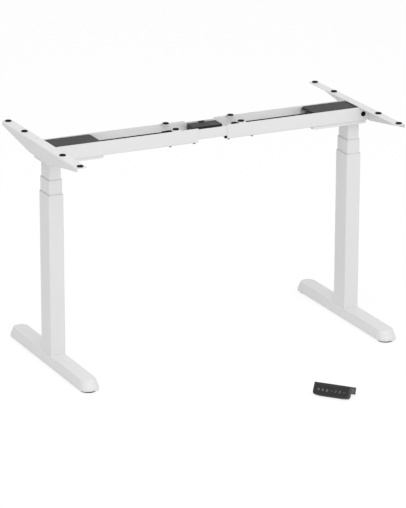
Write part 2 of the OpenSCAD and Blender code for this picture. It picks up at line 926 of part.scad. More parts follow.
// Screws through the outer rail's floor that clamp the centre rail
module clamp_screws(side) {
    color("silver")
        at_side(side)
            for (x = clamp_x(side))
                for (sy = [-1, 1])
                    translate([x, sy * clamp_y, 0]) {
                        translate([0, 0, rail_z - clamp_drop])
                            cylinder(d = clamp_head, h = clamp_drop);
                        translate([0, 0, rail_z - clamp_drop])
                            cylinder(d = clamp_d, h = centre_z - seat_gap - rail_z + clamp_drop);
                    }
}

// Inner channel that both outer rails slide on
module centre_rail() {
    color(white)
        difference() {
            block([-centre_l / 2, -nested_y, centre_z], [centre_l / 2, nested_y, centre_top]);
            block([-centre_l / 2 - over, -nested_y + rail_t, centre_floor],
                  [centre_l / 2 + over, nested_y - rail_t, centre_top + over]);
            translate([stop_x, stop_y, centre_z - over])
                cylinder(d = stop_d / 2, h = rail_t + 2 * over);
        }
}

// Black screw under the centre rail that keeps the right rail from sliding in
module centre_stop_screw() {
    color("black")
        translate([stop_x, stop_y, rail_z + rail_t / 2]) {
            cylinder(d = stop_d, h = centre_z - rail_z - rail_t / 2);
            cylinder(d = stop_d / 2 - 2 * fit_gap, h = centre_floor + rail_t - rail_z);
        }
}

// Box with open top and a window for the sockets in each end
module control_box() {
    color(dark)
        translate([box_x, 0, 0])
            difference() {
                block([-box_l / 2, -box_w / 2, box_z], [box_l / 2, box_w / 2, lid_z]);
                block([-box_l / 2 + box_t, -box_w / 2 + box_t, box_z + box_t],
                      [box_l / 2 - box_t, box_w / 2 - box_t, lid_z + over]);
                for (sy = [-1, 1])
                    translate([0, sy * socket_y, board_z + board_t])
                        block([-box_l, -socket_w / 2 - seat_gap, -seat_gap],
                              [box_l, socket_w / 2 + seat_gap, socket_h + seat_gap]);
            }
}

module control_lid() {
    rib_l = box_l / 5.5;
    rib_h = 2.5 * box_t;
    color(dark)
        translate([box_x, 0, 0])
            difference() {
                union() {
                    block([-box_l / 2, -box_w / 2, lid_z], [box_l / 2, box_w / 2, box_top]);
                    block([-rib_l / 2, box_w / 2 - 2 * box_t, box_top],
                          [rib_l / 2, box_w / 2, box_top + rib_h]);
                }
                block([-box_l / 2 + box_t, -box_w / 2 + box_t, lid_z - over],
                      [box_l / 2 - box_t, box_w / 2 - box_t, box_top - box_t]);
            }
}

// Circuit board on four posts, with two sockets at each end
module control_board() {
    inner_l = box_l / 2 - box_t - seat_gap;
    inner_y = box_w / 2 - box_t - seat_gap;
    color("darkgreen")
        translate([box_x, 0, 0])
            union() {
                block([-inner_l, -inner_y, board_z], [inner_l, inner_y, board_z + board_t]);
                for (sx = [-1, 1])
                    for (sy = [-1, 1]) {
                        translate([sx * (inner_l - board_post), sy * (inner_y - board_post), box_z + box_t])
                            cylinder(d = board_post, h = board_z - box_z - box_t);
                        translate([sx * (inner_l - socket_l / 2), sy * socket_y, board_z + board_t])
                            mirror([sx == -1 ? 1 : 0, 0, 0])
                                socket();
                    }
            }
}

module socket() {
    difference() {
        block([-socket_l / 2, -socket_w / 2, -board_t / 2], [socket_l / 2, socket_w / 2, socket_h]);
        block([-socket_l / 6, -socket_w / 2 + board_t, board_t],
              [socket_l, socket_w / 2 - board_t, socket_h - board_t]);
    }
}

// The keypad leans back on its front sole and its rear edge
module keypad_place() {
    translate([key_x, key_y, key_lift])
        rotate([0, 0, key_turn])
            rotate([-key_tip, 0, 0])
                children();
}

// The front face leans: its lower edge reaches forward
module keypad_face() {
    rotate([-face_lean, 0, 0])
        children();
}

// Front face with round lower corners and a crowned lower edge
module face_outline(inset) {
    w = key_w - 2 * inset;
    h = key_front + fit_gap - inset;
    crown = 3 * key_w;
    intersection() {
        union() {
            translate([-w / 2, -h + panel_round])
                square([w, h + panel_round]);
            translate([-w / 2 + panel_round, -h])
                square([w - 2 * panel_round, 2 * h]);
            for (s = [-1, 1])
                translate([s * (w / 2 - panel_round), -h + panel_round])
                    circle(r = panel_round);
        }
        translate([0, crown - h])
            circle(r = crown, $fn = 4 * $fn);
    }
}

module keypad_side() {
    polygon([[0, 0], [key_d, 0], [key_d, -key_back], [step_y, -key_back],
             [sole_y, -key_front], [-key_reach, -key_front + key_t]]);
}

module keypad_housing() {
    color(dark)
        keypad_place()
            difference() {
                intersection() {
                    along_x(-key_w / 2, key_w / 2)
                        keypad_side();
                    union() {
                        keypad_face()
                            along_y(-key_d, step_y)
                                face_outline(0);
                        block([-key_w / 2, sole_y, -key_back], [key_w / 2, 2 * key_d, key_t]);
                    }
                }
                block([-key_w / 2 + key_t, step_y, -key_back + key_t],
                      [key_w / 2 - key_t, key_d - key_t, key_t]);
                block([-key_w / 2 + key_t, 2 * key_t, -key_back + key_t],
                      [key_w / 2 - key_t, step_y + key_t, key_t]);
                keypad_face()
                    along_y(-over, panel_t)
                        panel_outline(0);
                keypad_port_place()
                    block([-port_l, -port_w / 2 - fit_gap, -port_h / 2 - fit_gap],
                          [port_l, port_w / 2 + fit_gap, port_h / 2 + fit_gap]);
                for (s = [-1, 1])
                    translate([s * (key_w / 2 - key_hole_edge), key_d - key_hole_edge, -key_back - over])
                        cylinder(d = key_access, h = key_back);
            }
}

module panel_outline(gap) {
    intersection() {
        face_outline(panel_edge + gap);
        translate([-key_w, -2 * key_front])
            square([2 * key_w, 2 * key_front - panel_edge - gap]);
    }
}

// Glossy touch panel let into the front face
module keypad_panel() {
    color("black")
        keypad_place()
            keypad_face()
                along_y(0, panel_t)
                    panel_outline(fit_gap);
}

// Steel plate that closes the top and is screwed under the desktop
module keypad_plate() {
    color(dark)
        keypad_place()
            difference() {
                block([-key_w / 2, 0, 0], [key_w / 2, key_d, key_plate]);
                for (s = [-1, 1]) {
                    translate([s * (key_w / 2 - key_hole_edge), key_d - key_hole_edge, -over])
                        cylinder(d = key_hole, h = key_plate + 2 * over);
                    translate([s * key_w / 4, step_y, 0])
                        block([-key_hole / 2, -key_hole / 2, -over],
                              [key_hole / 2, key_hole / 2, key_plate + over]);
                }
                translate([0, step_y / 2, -over])
                    cylinder(d = key_hole, h = key_plate + 2 * over);
            }
}

module keypad_screw() {
    color("silver")
        keypad_place()
            translate([0, step_y / 2, 0]) {
                translate([0, 0, key_plate])
                    cylinder(d = 1.6 * key_hole, h = key_plate);
                translate([0, 0, -key_t])
                    cylinder(d = key_hole - 2 * fit_gap, h = key_t + 2 * key_plate);
            }
}

module keypad_port_place() {
    translate([key_w / 2, key_d / 2, -key_back / 2])
        children();
}

module keypad_port() {
    color("silver")
        keypad_place()
            keypad_port_place()
                difference() {
                    block([-port_l, -port_w / 2, -port_h / 2], [-port_t / 4, port_w / 2, port_h / 2]);
                    block([-port_l + port_t, -port_w / 2 + port_t, -port_h / 2 + port_t],
                          [port_t, port_w / 2 - port_t, port_h / 2 - port_t]);
                }
}

foot(left);  // left_foot
foot_bolts(left);  // left_foot_bolts
outer_column(left);  // left_outer_column
outer_guide(left);  // left_outer_guide
base_screw(left);  // left_base_screw
glide(left, front);  // left_front_glide
glide(left, back);  // left_rear_glide
middle_column(left);  // left_middle_column
middle_guides(left);  // left_middle_guides
hollow_screw(left);  // left_hollow_screw
inner_column(left);  // left_inner_column
inner_guide(left);  // left_inner_guide
head(left);  // left_head
gearbox(left);  // left_gearbox
motor(left);  // left_motor
motor_cover(left);  // left_motor_cover
motor_cable(left);  // left_motor_cable
rail(left);  // left_rail
rail_pads(left);  // left_rail_pads
bracket(left);  // left_bracket
bracket_pads(left);  // left_bracket_pads
bracket_screws(left);  // left_bracket_screws
head_bolts(left);  // left_head_bolts
clamp_screws(left);  // left_clamp_screws
drive_shaft(left);  // left_drive_shaft
foot(right);  // right_foot
foot_bolts(right);  // right_foot_bolts
outer_column(right);  // right_outer_column
outer_guide(right);  // right_outer_guide
base_screw(right);  // right_base_screw
glide(right, front);  // right_front_glide
glide(right, back);  // right_rear_glide
middle_column(right);  // right_middle_column
middle_guides(right);  // right_middle_guides
hollow_screw(right);  // right_hollow_screw
inner_column(right);  // right_inner_column
inner_guide(right);  // right_inner_guide
head(right);  // right_head
gearbox(right);  // right_gearbox
motor(right);  // right_motor
motor_cover(right);  // right_motor_cover
motor_cable(right);  // right_motor_cable
rail(right);  // right_rail
rail_pads(right);  // right_rail_pads
bracket(right);  // right_bracket
bracket_pads(right);  // right_bracket_pads
bracket_screws(right);  // right_bracket_screws
head_bolts(right);  // right_head_bolts
clamp_screws(right);  // right_clamp_screws
drive_shaft(right);  // right_drive_shaft
centre_rail();
centre_stop_screw();
control_box();
control_lid();
control_board();
keypad_housing();
keypad_plate();
keypad_panel();
keypad_port();
keypad_screw();
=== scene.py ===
import json
import math

import bmesh
import bpy
from mathutils import Matrix, Vector

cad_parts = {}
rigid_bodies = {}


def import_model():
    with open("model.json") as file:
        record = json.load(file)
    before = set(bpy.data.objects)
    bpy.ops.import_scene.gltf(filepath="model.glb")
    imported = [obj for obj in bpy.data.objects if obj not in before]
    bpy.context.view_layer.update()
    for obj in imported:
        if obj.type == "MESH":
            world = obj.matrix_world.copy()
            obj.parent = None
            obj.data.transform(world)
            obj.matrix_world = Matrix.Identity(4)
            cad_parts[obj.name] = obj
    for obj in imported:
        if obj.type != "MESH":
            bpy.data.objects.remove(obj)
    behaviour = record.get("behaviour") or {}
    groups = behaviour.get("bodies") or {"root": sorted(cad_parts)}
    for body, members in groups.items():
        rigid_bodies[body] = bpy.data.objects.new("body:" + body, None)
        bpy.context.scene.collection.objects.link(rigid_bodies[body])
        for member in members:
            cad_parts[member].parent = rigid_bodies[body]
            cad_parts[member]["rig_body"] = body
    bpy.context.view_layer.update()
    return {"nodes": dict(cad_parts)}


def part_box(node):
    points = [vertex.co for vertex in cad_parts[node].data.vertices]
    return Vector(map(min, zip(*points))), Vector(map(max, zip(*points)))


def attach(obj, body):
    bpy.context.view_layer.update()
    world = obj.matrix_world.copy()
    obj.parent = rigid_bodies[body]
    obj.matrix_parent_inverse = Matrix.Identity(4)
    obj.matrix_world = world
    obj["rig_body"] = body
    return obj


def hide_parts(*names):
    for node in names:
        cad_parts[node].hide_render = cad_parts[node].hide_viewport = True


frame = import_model()
nodes = frame["nodes"]
mm = 0.001
# what counts as the same place, point, plane or direction
near = {"place": 0.01 * mm, "merge": 0.002 * mm, "flat": math.radians(0.4), "along": 0.999,
        "facing": 0.9}
sideSigns = {"left": -1, "right": 1}
scene = bpy.context.scene
scene.view_settings.view_transform = "Standard"


# selecting and starting pieces

def pickOnly(*pieces):
    bpy.ops.object.select_all(action="DESELECT")
    for piece in pieces:
        piece.select_set(True)
    bpy.context.view_layer.objects.active = pieces[0]


def openEdit(piece):
    pickOnly(piece)
    bpy.ops.object.mode_set(mode="EDIT")


def closeEdit():
    bpy.ops.object.mode_set(mode="OBJECT")


def selectWhere(piece, kind, test):
    # picks faces or edges by their place or direction
    bpy.ops.mesh.select_mode(type=kind)
    bpy.ops.mesh.select_all(action="DESELECT")
    mesh = bmesh.from_edit_mesh(piece.data)
    mesh.normal_update()
    for item in {"FACE": mesh.faces, "EDGE": mesh.edges}[kind]:
        if test(item):
            item.select_set(True)
    bmesh.update_edit_mesh(piece.data)


def middleOf(edge):
    return (edge.verts[0].co + edge.verts[1].co) / 2


def alongAxis(edge, axis):
    line = edge.verts[1].co - edge.verts[0].co
    return abs(line[axis]) > near["along"] * line.length


def facesUp(face):
    return face.normal.z > near["facing"]


def facesDown(face):
    return face.normal.z < -near["facing"]


def named(name):
    piece = bpy.context.object
    piece.name = name
    piece.data.name = name
    bpy.ops.object.transform_apply(location=True, rotation=True, scale=True)
    return piece


def startBlock(name, low, high):
    bpy.ops.object.select_all(action="DESELECT")
    low, high = Vector(low), Vector(high)
    bpy.ops.mesh.primitive_cube_add(size=1, location=(low + high) / 2, scale=high - low)
    return named(name)


def startDisc(name, radius, z, sides=48):
    bpy.ops.object.select_all(action="DESELECT")
    bpy.ops.mesh.primitive_circle_add(vertices=sides, radius=radius, fill_type="NGON",
                                      location=(0, 0, z))
    return named(name)


def turned(name, profile, sides=48):
    # stands up along Z: a disc pushed up and scaled through (height, radius) pairs
    height, radius = profile[0]
    piece = startDisc(name, radius, height, sides)
    openEdit(piece)
    bpy.ops.mesh.select_all(action="SELECT")
    for nextHeight, nextRadius in profile[1:]:
        bpy.ops.mesh.extrude_region_move(
            TRANSFORM_OT_translate={"value": (0, 0, nextHeight - height)})
        share = nextRadius / radius
        if nextRadius != radius:
            bpy.ops.transform.resize(value=(share, share, 1), center_override=(0, 0, nextHeight))
        height, radius = nextHeight, nextRadius
    bpy.ops.mesh.select_all(action="SELECT")
    bpy.ops.mesh.normals_make_consistent(inside=False)
    closeEdit()
    return piece


def smoothed(piece, angle=35, flatShare=12):
    # smooth between the strips of a rounding, flat on each face that is far larger than its strips
    pickOnly(piece)
    bpy.ops.object.shade_smooth_by_angle(angle=math.radians(angle))
    areas = [face.area for face in piece.data.polygons]

    def rimOfFlat(edge):
        sizes = sorted(areas[face.index] for face in edge.link_faces)
        return len(sizes) == 2 and sizes[1] > flatShare * sizes[0]
    openEdit(piece)
    selectWhere(piece, "EDGE", rimOfFlat)
    bpy.ops.mesh.mark_sharp()
    closeEdit()
    return piece


def roundEdges(piece, width, steps=2, angle=40):
    pickOnly(piece)
    bevel = piece.modifiers.new("round", "BEVEL")
    bevel.width = width
    bevel.segments = steps
    bevel.limit_method = "ANGLE"
    bevel.angle_limit = math.radians(angle)
    bpy.ops.object.modifier_apply(modifier=bevel.name)
    return piece


def cutAway(piece, tool):
    # cuts the tool's shape out of the piece, and drops the tool
    pickOnly(piece)
    cut = piece.modifiers.new("cut", "BOOLEAN")
    cut.operation = "DIFFERENCE"
    cut.solver = "EXACT"
    cut.object = tool
    bpy.ops.object.modifier_apply(modifier=cut.name)
    bpy.data.objects.remove(tool)
    return piece


def placedCopy(source, name, matrix):
    piece = bpy.data.objects.new(name, source.data.copy())
    scene.collection.objects.link(piece)
    piece.data.transform(matrix)
    return piece


def joined(name, pieces):
    pickOnly(*pieces)
    if len(pieces) > 1:
        bpy.ops.object.join()
    piece = bpy.context.object
    piece.name = name
    piece.data.name = name
    return piece


def dropped(*pieces):
    for piece in pieces:
        bpy.data.objects.remove(piece)


def cleanCopy(nodeName, name):
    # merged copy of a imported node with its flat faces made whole
    piece = bpy.data.objects.new(name, nodes[nodeName].data.copy())
    scene.collection.objects.link(piece)
    openEdit(piece)
    bpy.ops.mesh.select_all(action="SELECT")
    bpy.ops.mesh.remove_doubles(threshold=near["merge"])
    bpy.ops.mesh.dissolve_limited(angle_limit=near["flat"])
    closeEdit()
    return piece


def roundWhere(piece, test, radius, steps):
    openEdit(piece)
    selectWhere(piece, "EDGE", test)
    bpy.ops.mesh.bevel(offset=radius, segments=steps, affect="EDGES")
    closeEdit()


def isSharp(edge, degrees=40):
    return len(edge.link_faces) == 2 and edge.calc_face_angle() > math.radians(degrees)


def finished(piece, material, likeNode, *replacedNodes):
    piece.data.materials.clear()
    piece.data.materials.append(material)
    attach(piece, nodes[likeNode]["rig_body"])
    if replacedNodes:
        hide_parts(*replacedNodes)
    return piece


# materials: shared effects as groups, one material per finish

def add(tree, kind, inputs=None, **settings):
    node = tree.nodes.new("ShaderNode" + kind)
    for name, value in settings.items():
        setattr(node, name, value)
    for name, value in (inputs or {}).items():
        socket = node.inputs[name]
        if isinstance(value, tuple) and isinstance(value[0], bpy.types.Node):
            tree.links.new(value[0].outputs[value[1]], socket)
        else:
            socket.default_value = value
    return node


def startGroup(name, inputs, outputs):
    group = bpy.data.node_groups.new(name, "ShaderNodeTree")
    for socketName, value in inputs.items():
        socket = group.interface.new_socket(name=socketName, in_out="INPUT",
                                            socket_type="NodeSocketFloat")
        socket.default_value = value
    for socketName, kind in outputs.items():
        group.interface.new_socket(name=socketName, in_out="OUTPUT",
                                   socket_type="NodeSocket" + kind)
    start = group.nodes.new("NodeGroupInput")
    return group, start


def endGroup(group, outputs):
    end = group.nodes.new("NodeGroupOutput")
    for name, (node, output) in outputs.items():
        group.links.new(node.outputs[output], end.inputs[name])
    return group


def overSize(tree, start):
    # scale of a pattern from the size of its grain in metres
    return add(tree, "Math", {0: 1.0, 1: (start, "Size")}, operation="DIVIDE")


edgeEffect = {"radius": 0.0012, "reach": 0.12, "from": 0.01, "samples": 4}


def makeEdgeLine():
    group, start = startGroup("edgeLine",
                              {"Radius": edgeEffect["radius"], "Reach": edgeEffect["reach"]},
                              {"Mask": "Float", "Normal": "Vector"})
    rounded = add(group, "Bevel", {"Radius": (start, "Radius")}, samples=edgeEffect["samples"])
    flat = add(group, "NewGeometry")
    match = add(group, "VectorMath", {0: (rounded, "Normal"), 1: (flat, "Normal")},
                operation="DOT_PRODUCT")
    bend = add(group, "Math", {0: 1.0, 1: (match, "Value")}, operation="SUBTRACT")
    mask = add(group, "MapRange", {"Value": (bend, 0), "From Min": edgeEffect["from"],
                                   "From Max": (start, "Reach")})
    return endGroup(group, {"Mask": (mask, "Result"), "Normal": (rounded, "Normal")})


coatEffect = {"size": 0.0012, "softness": 0.7, "pebbleShare": 0.55, "waveScale": 260.0,
              "waveDetail": 2.0, "toneScale": 7.0, "toneDetail": 4.0, "toneTwist": 0.4}


def makeCoatGrain():
    # fused powder: soft pebbles, a slow waviness and a slight drift in tone
    group, start = startGroup("coatGrain", {"Size": coatEffect["size"]},
                              {"Height": "Float", "Tone": "Float"})
    place = add(group, "TexCoord")
    scale = overSize(group, start)
    pebble = add(group, "TexVoronoi", {"Vector": (place, "Object"), "Scale": (scale, 0),
                                       "Smoothness": coatEffect["softness"]}, feature="SMOOTH_F1")
    wave = add(group, "TexNoise", {"Vector": (place, "Object"), "Scale": coatEffect["waveScale"],
                                   "Detail": coatEffect["waveDetail"]})
    height = add(group, "Math", {0: (pebble, "Distance"), 1: coatEffect["pebbleShare"],
                                 2: (wave, 0)}, operation="MULTIPLY_ADD")
    tone = add(group, "TexNoise", {"Vector": (place, "Object"), "Scale": coatEffect["toneScale"],
                                   "Detail": coatEffect["toneDetail"],
                                   "Distortion": coatEffect["toneTwist"]})
    return endGroup(group, {"Height": (height, 0), "Tone": (tone, 0)})


handlingEffect = {"size": 0.09, "detail": 5.0, "twist": 0.7, "smudge": (0.5, 0.72),
                  "upward": (0.5, 1.0), "speckScale": 1400.0, "speckDetail": 2.0,
                  "specks": (0.55, 0.75)}


def fromRange(tree, source, limits):
    # 0 to 1 between two limits of the source
    return add(tree, "MapRange", {"Value": source, "From Min": limits[0], "From Max": limits[1]})


def makeHandling():
    # finger marks anywhere, fine dust on what faces up
    look = handlingEffect
    group, start = startGroup("handling", {"Size": look["size"]},
                              {"Smudge": "Float", "Dust": "Float"})
    place = add(group, "TexCoord")
    scale = overSize(group, start)
    cloud = add(group, "TexNoise", {"Vector": (place, "Object"), "Scale": (scale, 0),
                                    "Detail": look["detail"], "Distortion": look["twist"]})
    smudge = fromRange(group, (cloud, 0), look["smudge"])
    surface = add(group, "NewGeometry")
    facing = add(group, "SeparateXYZ", {0: (surface, "Normal")})
    upward = fromRange(group, (facing, "Z"), look["upward"])
    specks = add(group, "TexNoise", {"Vector": (place, "Object"), "Scale": look["speckScale"],
                                     "Detail": look["speckDetail"]})
    sparse = fromRange(group, (specks, 0), look["specks"])
    dust = add(group, "Math", {0: (upward, 0), 1: (sparse, 0)}, operation="MULTIPLY")
    return endGroup(group, {"Smudge": (smudge, 0), "Dust": (dust, 0)})


mouldEffect = {"size": 0.0006, "detail": 3.0, "roughness": 0.65, "toneScale": 22.0,
               "toneDetail": 3.0}


def makeMouldGrain():
    # spark-eroded texture of moulded plastic
    group, start = startGroup("mouldGrain", {"Size": mouldEffect["size"]},
                              {"Height": "Float", "Tone": "Float"})
    place = add(group, "TexCoord")
    scale = overSize(group, start)
    grain = add(group, "TexNoise", {"Vector": (place, "Object"), "Scale": (scale, 0),
                                    "Detail": mouldEffect["detail"],
                                    "Roughness": mouldEffect["roughness"]})
    tone = add(group, "TexNoise", {"Vector": (place, "Object"), "Scale": mouldEffect["toneScale"],
                                   "Detail": mouldEffect["toneDetail"]})
    return endGroup(group, {"Height": (grain, 0), "Tone": (tone, 0)})


metalEffect = {"size": 0.0008, "cloudScale": 60.0, "cloudDetail": 4.0, "cloudTwist": 0.5}


def makeMetalGrain():
    # plated or cast surface: small crystals over a cloudy film
    group, start = startGroup("metalGrain", {"Size": metalEffect["size"]},
                              {"Crystal": "Float", "Cloud": "Float"})
    place = add(group, "TexCoord")
    scale = overSize(group, start)
    crystal = add(group, "TexVoronoi", {"Vector": (place, "Object"), "Scale": (scale, 0)})
    shade = add(group, "SeparateColor", {0: (crystal, "Color")})
    cloud = add(group, "TexNoise", {"Vector": (place, "Object"), "Scale": metalEffect["cloudScale"],
                                    "Detail": metalEffect["cloudDetail"],
                                    "Distortion": metalEffect["cloudTwist"]})
    return endGroup(group, {"Crystal": (shade, 0), "Cloud": (cloud, 0)})


turnEffect = {"size": 0.0015}


def makeTurnMarks():
    # fine rings left by the lathe or the thread roller on upright round bars
    group, start = startGroup("turnMarks", {"Size": turnEffect["size"]}, {"Height": "Float"})
    place = add(group, "TexCoord")
    scale = overSize(group, start)
    split = add(group, "SeparateXYZ", {0: (place, "Object")})
    turns = add(group, "Math", {0: (split, "Z"), 1: (scale, 0)}, operation="MULTIPLY")
    ring = add(group, "Math", {0: (turns, 0), 1: 1.0}, operation="PINGPONG")
    return endGroup(group, {"Height": (ring, 0)})


groups = {"edge": makeEdgeLine(), "coat": makeCoatGrain(), "handling": makeHandling(),
          "mould": makeMouldGrain(), "metal": makeMetalGrain(), "turn": makeTurnMarks()}


def grey(value, tint=(1, 1, 1)):
    return tuple(value * part for part in tint) + (1,)


def startMaterial(name):
    material = bpy.data.materials.new(name)
    material.use_nodes = True
    material.node_tree.nodes.clear()
    return material, material.node_tree


def blended(tree, factor, first, second):
    # colour between two colours, each a value or an earlier node's output
    mix = add(tree, "Mix", {0: factor, 6: first, 7: second}, data_type="RGBA")
    return (mix, 2)


def spread(tree, source, low, high):
    ranged = add(tree, "MapRange", {"Value": source, "To Min": low, "To Max": high})
    return (ranged, 0)


def scaled(tree, source, share):
    return (add(tree, "Math", {0: source, 1: share}, operation="MULTIPLY"), 0)


def closeMaterial(tree, colour, roughness, normal, **fixed):
    shader = add(tree, "BsdfPrincipled", {"Base Color": colour, "Roughness": roughness,
                                          "Normal": normal})
    for name, value in fixed.items():
        shader.inputs[name.replace("_", " ")].default_value = value
    add(tree, "OutputMaterial", {"Surface": (shader, 0)})


powderShared = {"marks": 0.11, "dustColour": grey(0.6), "polish": 0.08, "ior": 1.5}


def makePowder(name, look):
    look = {**powderShared, **look}
    material, tree = startMaterial(name)
    coat = add(tree, "Group", {"Size": look["grain"]}, node_tree=groups["coat"])
    edge = add(tree, "Group", {"Radius": look["edge"]}, node_tree=groups["edge"])
    marks = add(tree, "Group", {"Size": look["marks"]}, node_tree=groups["handling"])
    body = blended(tree, (coat, "Tone"), look["colour"], look["drift"])
    worn = blended(tree, scaled(tree, (edge, "Mask"), look["wear"]), body, look["edgeColour"])
    dusty = blended(tree, scaled(tree, (marks, "Dust"), look["dust"]), worn, look["dustColour"])
    rough = spread(tree, (marks, "Smudge"), look["rough"], look["rough"] - look["polish"])
    bump = add(tree, "Bump", {"Height": (coat, "Height"), "Distance": look["depth"],
                              "Strength": 1.0, "Normal": (edge, "Normal")})
    closeMaterial(tree, dusty, rough, (bump, 0), IOR=look["ior"], Specular_IOR_Level=look["gloss"])
    return material


plasticShared = {"marks": 0.05, "dustColour": grey(0.45), "polish": 0.12, "ior": 1.46}


def makePlastic(name, look):
    look = {**plasticShared, **look}
    material, tree = startMaterial(name)
    mould = add(tree, "Group", {"Size": look["grain"]}, node_tree=groups["mould"])
    edge = add(tree, "Group", {"Radius": look["edge"]}, node_tree=groups["edge"])
    marks = add(tree, "Group", {"Size": look["marks"]}, node_tree=groups["handling"])
    body = blended(tree, (mould, "Tone"), look["colour"], look["drift"])
    worn = blended(tree, scaled(tree, (edge, "Mask"), look["wear"]), body, look["edgeColour"])
    dusty = blended(tree, scaled(tree, (marks, "Dust"), look["dust"]), worn, look["dustColour"])
    rough = spread(tree, (marks, "Smudge"), look["rough"], look["rough"] - look["polish"])
    bump = add(tree, "Bump", {"Height": (mould, "Height"), "Distance": look["depth"],
                              "Strength": 1.0, "Normal": (edge, "Normal")})
    closeMaterial(tree, dusty, rough, (bump, 0), IOR=look["ior"], Specular_IOR_Level=look["gloss"])
    return material


metalShared = {"polish": 0.08, "dull": 0.12, "crystalShare": 0.4}


def makeMetal(name, look):
    look = {**metalShared, **look}
    material, tree = startMaterial(name)
    metal = add(tree, "Group", {"Size": look["grain"]}, node_tree=groups["metal"])
    edge = add(tree, "Group", {"Radius": look["edge"]}, node_tree=groups["edge"])
    turn = add(tree, "Group", {"Size": look["turn"]}, node_tree=groups["turn"])
    crystals = blended(tree, (metal, "Crystal"), look["colour"], look["drift"])
    film = blended(tree, scaled(tree, (metal, "Cloud"), look["film"]), crystals, look["filmColour"])
    bright = blended(tree, scaled(tree, (edge, "Mask"), look["wear"]), film, look["edgeColour"])
    rough = spread(tree, (metal, "Cloud"), look["rough"] - look["polish"],
                   look["rough"] + look["dull"])
    rings = scaled(tree, (turn, "Height"), look["turnDepth"])
    height = add(tree, "Math", {0: (metal, "Crystal"), 1: look["crystalShare"], 2: rings},
                 operation="MULTIPLY_ADD")
    bump = add(tree, "Bump", {"Height": (height, 0), "Distance": look["depth"],
                              "Strength": 1.0, "Normal": (edge, "Normal")})
    closeMaterial(tree, bright, rough, (bump, 0), Metallic=look["metallic"])
    return material


glassLook = {"marks": 0.022, "edge": 0.0004, "colour": grey(0.004), "smudged": grey(0.009),
             "edgeColour": grey(0.12), "wear": 0.5, "rough": (0.06, 0.16), "ior": 1.5}
inkLook = {"grain": 0.0003, "colour": grey(0.5), "drift": grey(0.66), "depth": 0.00001,
           "rough": (0.3, 0.4), "ior": 1.5}
boardLook = {"cells": 330.0, "traces": (0.36, 0.42), "solder": (0.1, 0.08),
             "bare": (0.012, 0.11, 0.035, 1), "overCopper": (0.03, 0.2, 0.06, 1),
             "solderColour": grey(0.5), "depth": 0.00004, "rough": (0.35, 0.25), "ior": 1.5}


def makeGlass(name, look):
    # black printed glass: almost mirror-smooth, with faint finger grease
    material, tree = startMaterial(name)
    marks = add(tree, "Group", {"Size": look["marks"]}, node_tree=groups["handling"])
    edge = add(tree, "Group", {"Radius": look["edge"]}, node_tree=groups["edge"])
    body = blended(tree, (marks, "Smudge"), look["colour"], look["smudged"])
    rim = blended(tree, scaled(tree, (edge, "Mask"), look["wear"]), body, look["edgeColour"])
    rough = spread(tree, (marks, "Smudge"), *look["rough"])
    closeMaterial(tree, rim, rough, (edge, "Normal"), IOR=look["ior"])
    return material


def makeIconPaint(name, look):
    material, tree = startMaterial(name)
    mould = add(tree, "Group", {"Size": look["grain"]}, node_tree=groups["mould"])
    ink = blended(tree, (mould, "Height"), look["colour"], look["drift"])
    bump = add(tree, "Bump", {"Height": (mould, "Height"), "Distance": look["depth"]})
    rough = spread(tree, (mould, "Tone"), *look["rough"])
    closeMaterial(tree, ink, rough, (bump, 0), IOR=look["ior"])
    return material


def makeBoard(name, look):
    # lacquered board: copper traces under green, with bright solder pads
    material, tree = startMaterial(name)
    place = add(tree, "TexCoord")
    cells = add(tree, "TexVoronoi", {"Vector": (place, "Object"), "Scale": look["cells"]},
                distance="CHEBYCHEV", feature="F1")
    trace = fromRange(tree, (cells, "Distance"), look["traces"])
    pads = fromRange(tree, (cells, "Distance"), look["solder"])
    lacquer = blended(tree, (trace, 0), look["bare"], look["overCopper"])
    solder = blended(tree, (pads, 0), lacquer, look["solderColour"])
    bump = add(tree, "Bump", {"Height": (trace, 0), "Distance": look["depth"]})
    rough = spread(tree, (pads, 0), *look["rough"])
    closeMaterial(tree, solder, rough, (bump, 0), IOR=look["ior"])
    return material


powderLooks = {
    "powderWhite": {"colour": grey(0.8), "drift": grey(0.775), "edgeColour": grey(0.86),
                    "wear": 0.5, "dust": 0.03, "rough": 0.46, "grain": 0.0011, "depth": 0.00003,
                    "edge": 0.0009, "gloss": 0.5},
    "powderBlack": {"colour": grey(0.031), "drift": grey(0.037), "edgeColour": grey(0.075),
                    "wear": 0.6, "dust": 0.03, "rough": 0.6, "grain": 0.0008, "depth": 0.00005,
                    "edge": 0.0008, "gloss": 0.22},
}
plasticLooks = {
    "rubberBlack": {"colour": grey(0.005), "drift": grey(0.008), "edgeColour": grey(0.03),
                    "wear": 0.4, "dust": 0.02, "rough": 0.75, "grain": 0.0005, "depth": 0.00003,
                    "edge": 0.0006, "gloss": 0.14},
    "cablePvc": {"colour": grey(0.004), "drift": grey(0.006), "edgeColour": grey(0.02),
                 "wear": 0.4, "dust": 0.01, "rough": 0.6, "grain": 0.0007, "depth": 0.00002,
                 "edge": 0.0003, "gloss": 0.1},
    # guide bushes: their dark grey paints the shade line at each column step, standing in for shadow
    # there
    "guidePlasticPaintedShade": {"colour": grey(0.1), "drift": grey(0.12), "edgeColour": grey(0.2),
                     "wear": 0.3, "dust": 0.06, "rough": 0.48, "grain": 0.0006, "depth": 0.00002,
                     "edge": 0.0004, "gloss": 0.4},
    "mouldedBlack": {"colour": grey(0.024), "drift": grey(0.03), "edgeColour": grey(0.09),
                     "wear": 0.5, "dust": 0.03, "rough": 0.5, "grain": 0.0005, "depth": 0.00003,
                     "edge": 0.0006, "gloss": 0.35},
    "boxPlastic": {"colour": grey(0.031), "drift": grey(0.037), "edgeColour": grey(0.075),
                   "wear": 0.5, "dust": 0.03, "rough": 0.58, "grain": 0.0006, "depth": 0.00005,
                   "edge": 0.0008, "gloss": 0.22},
}
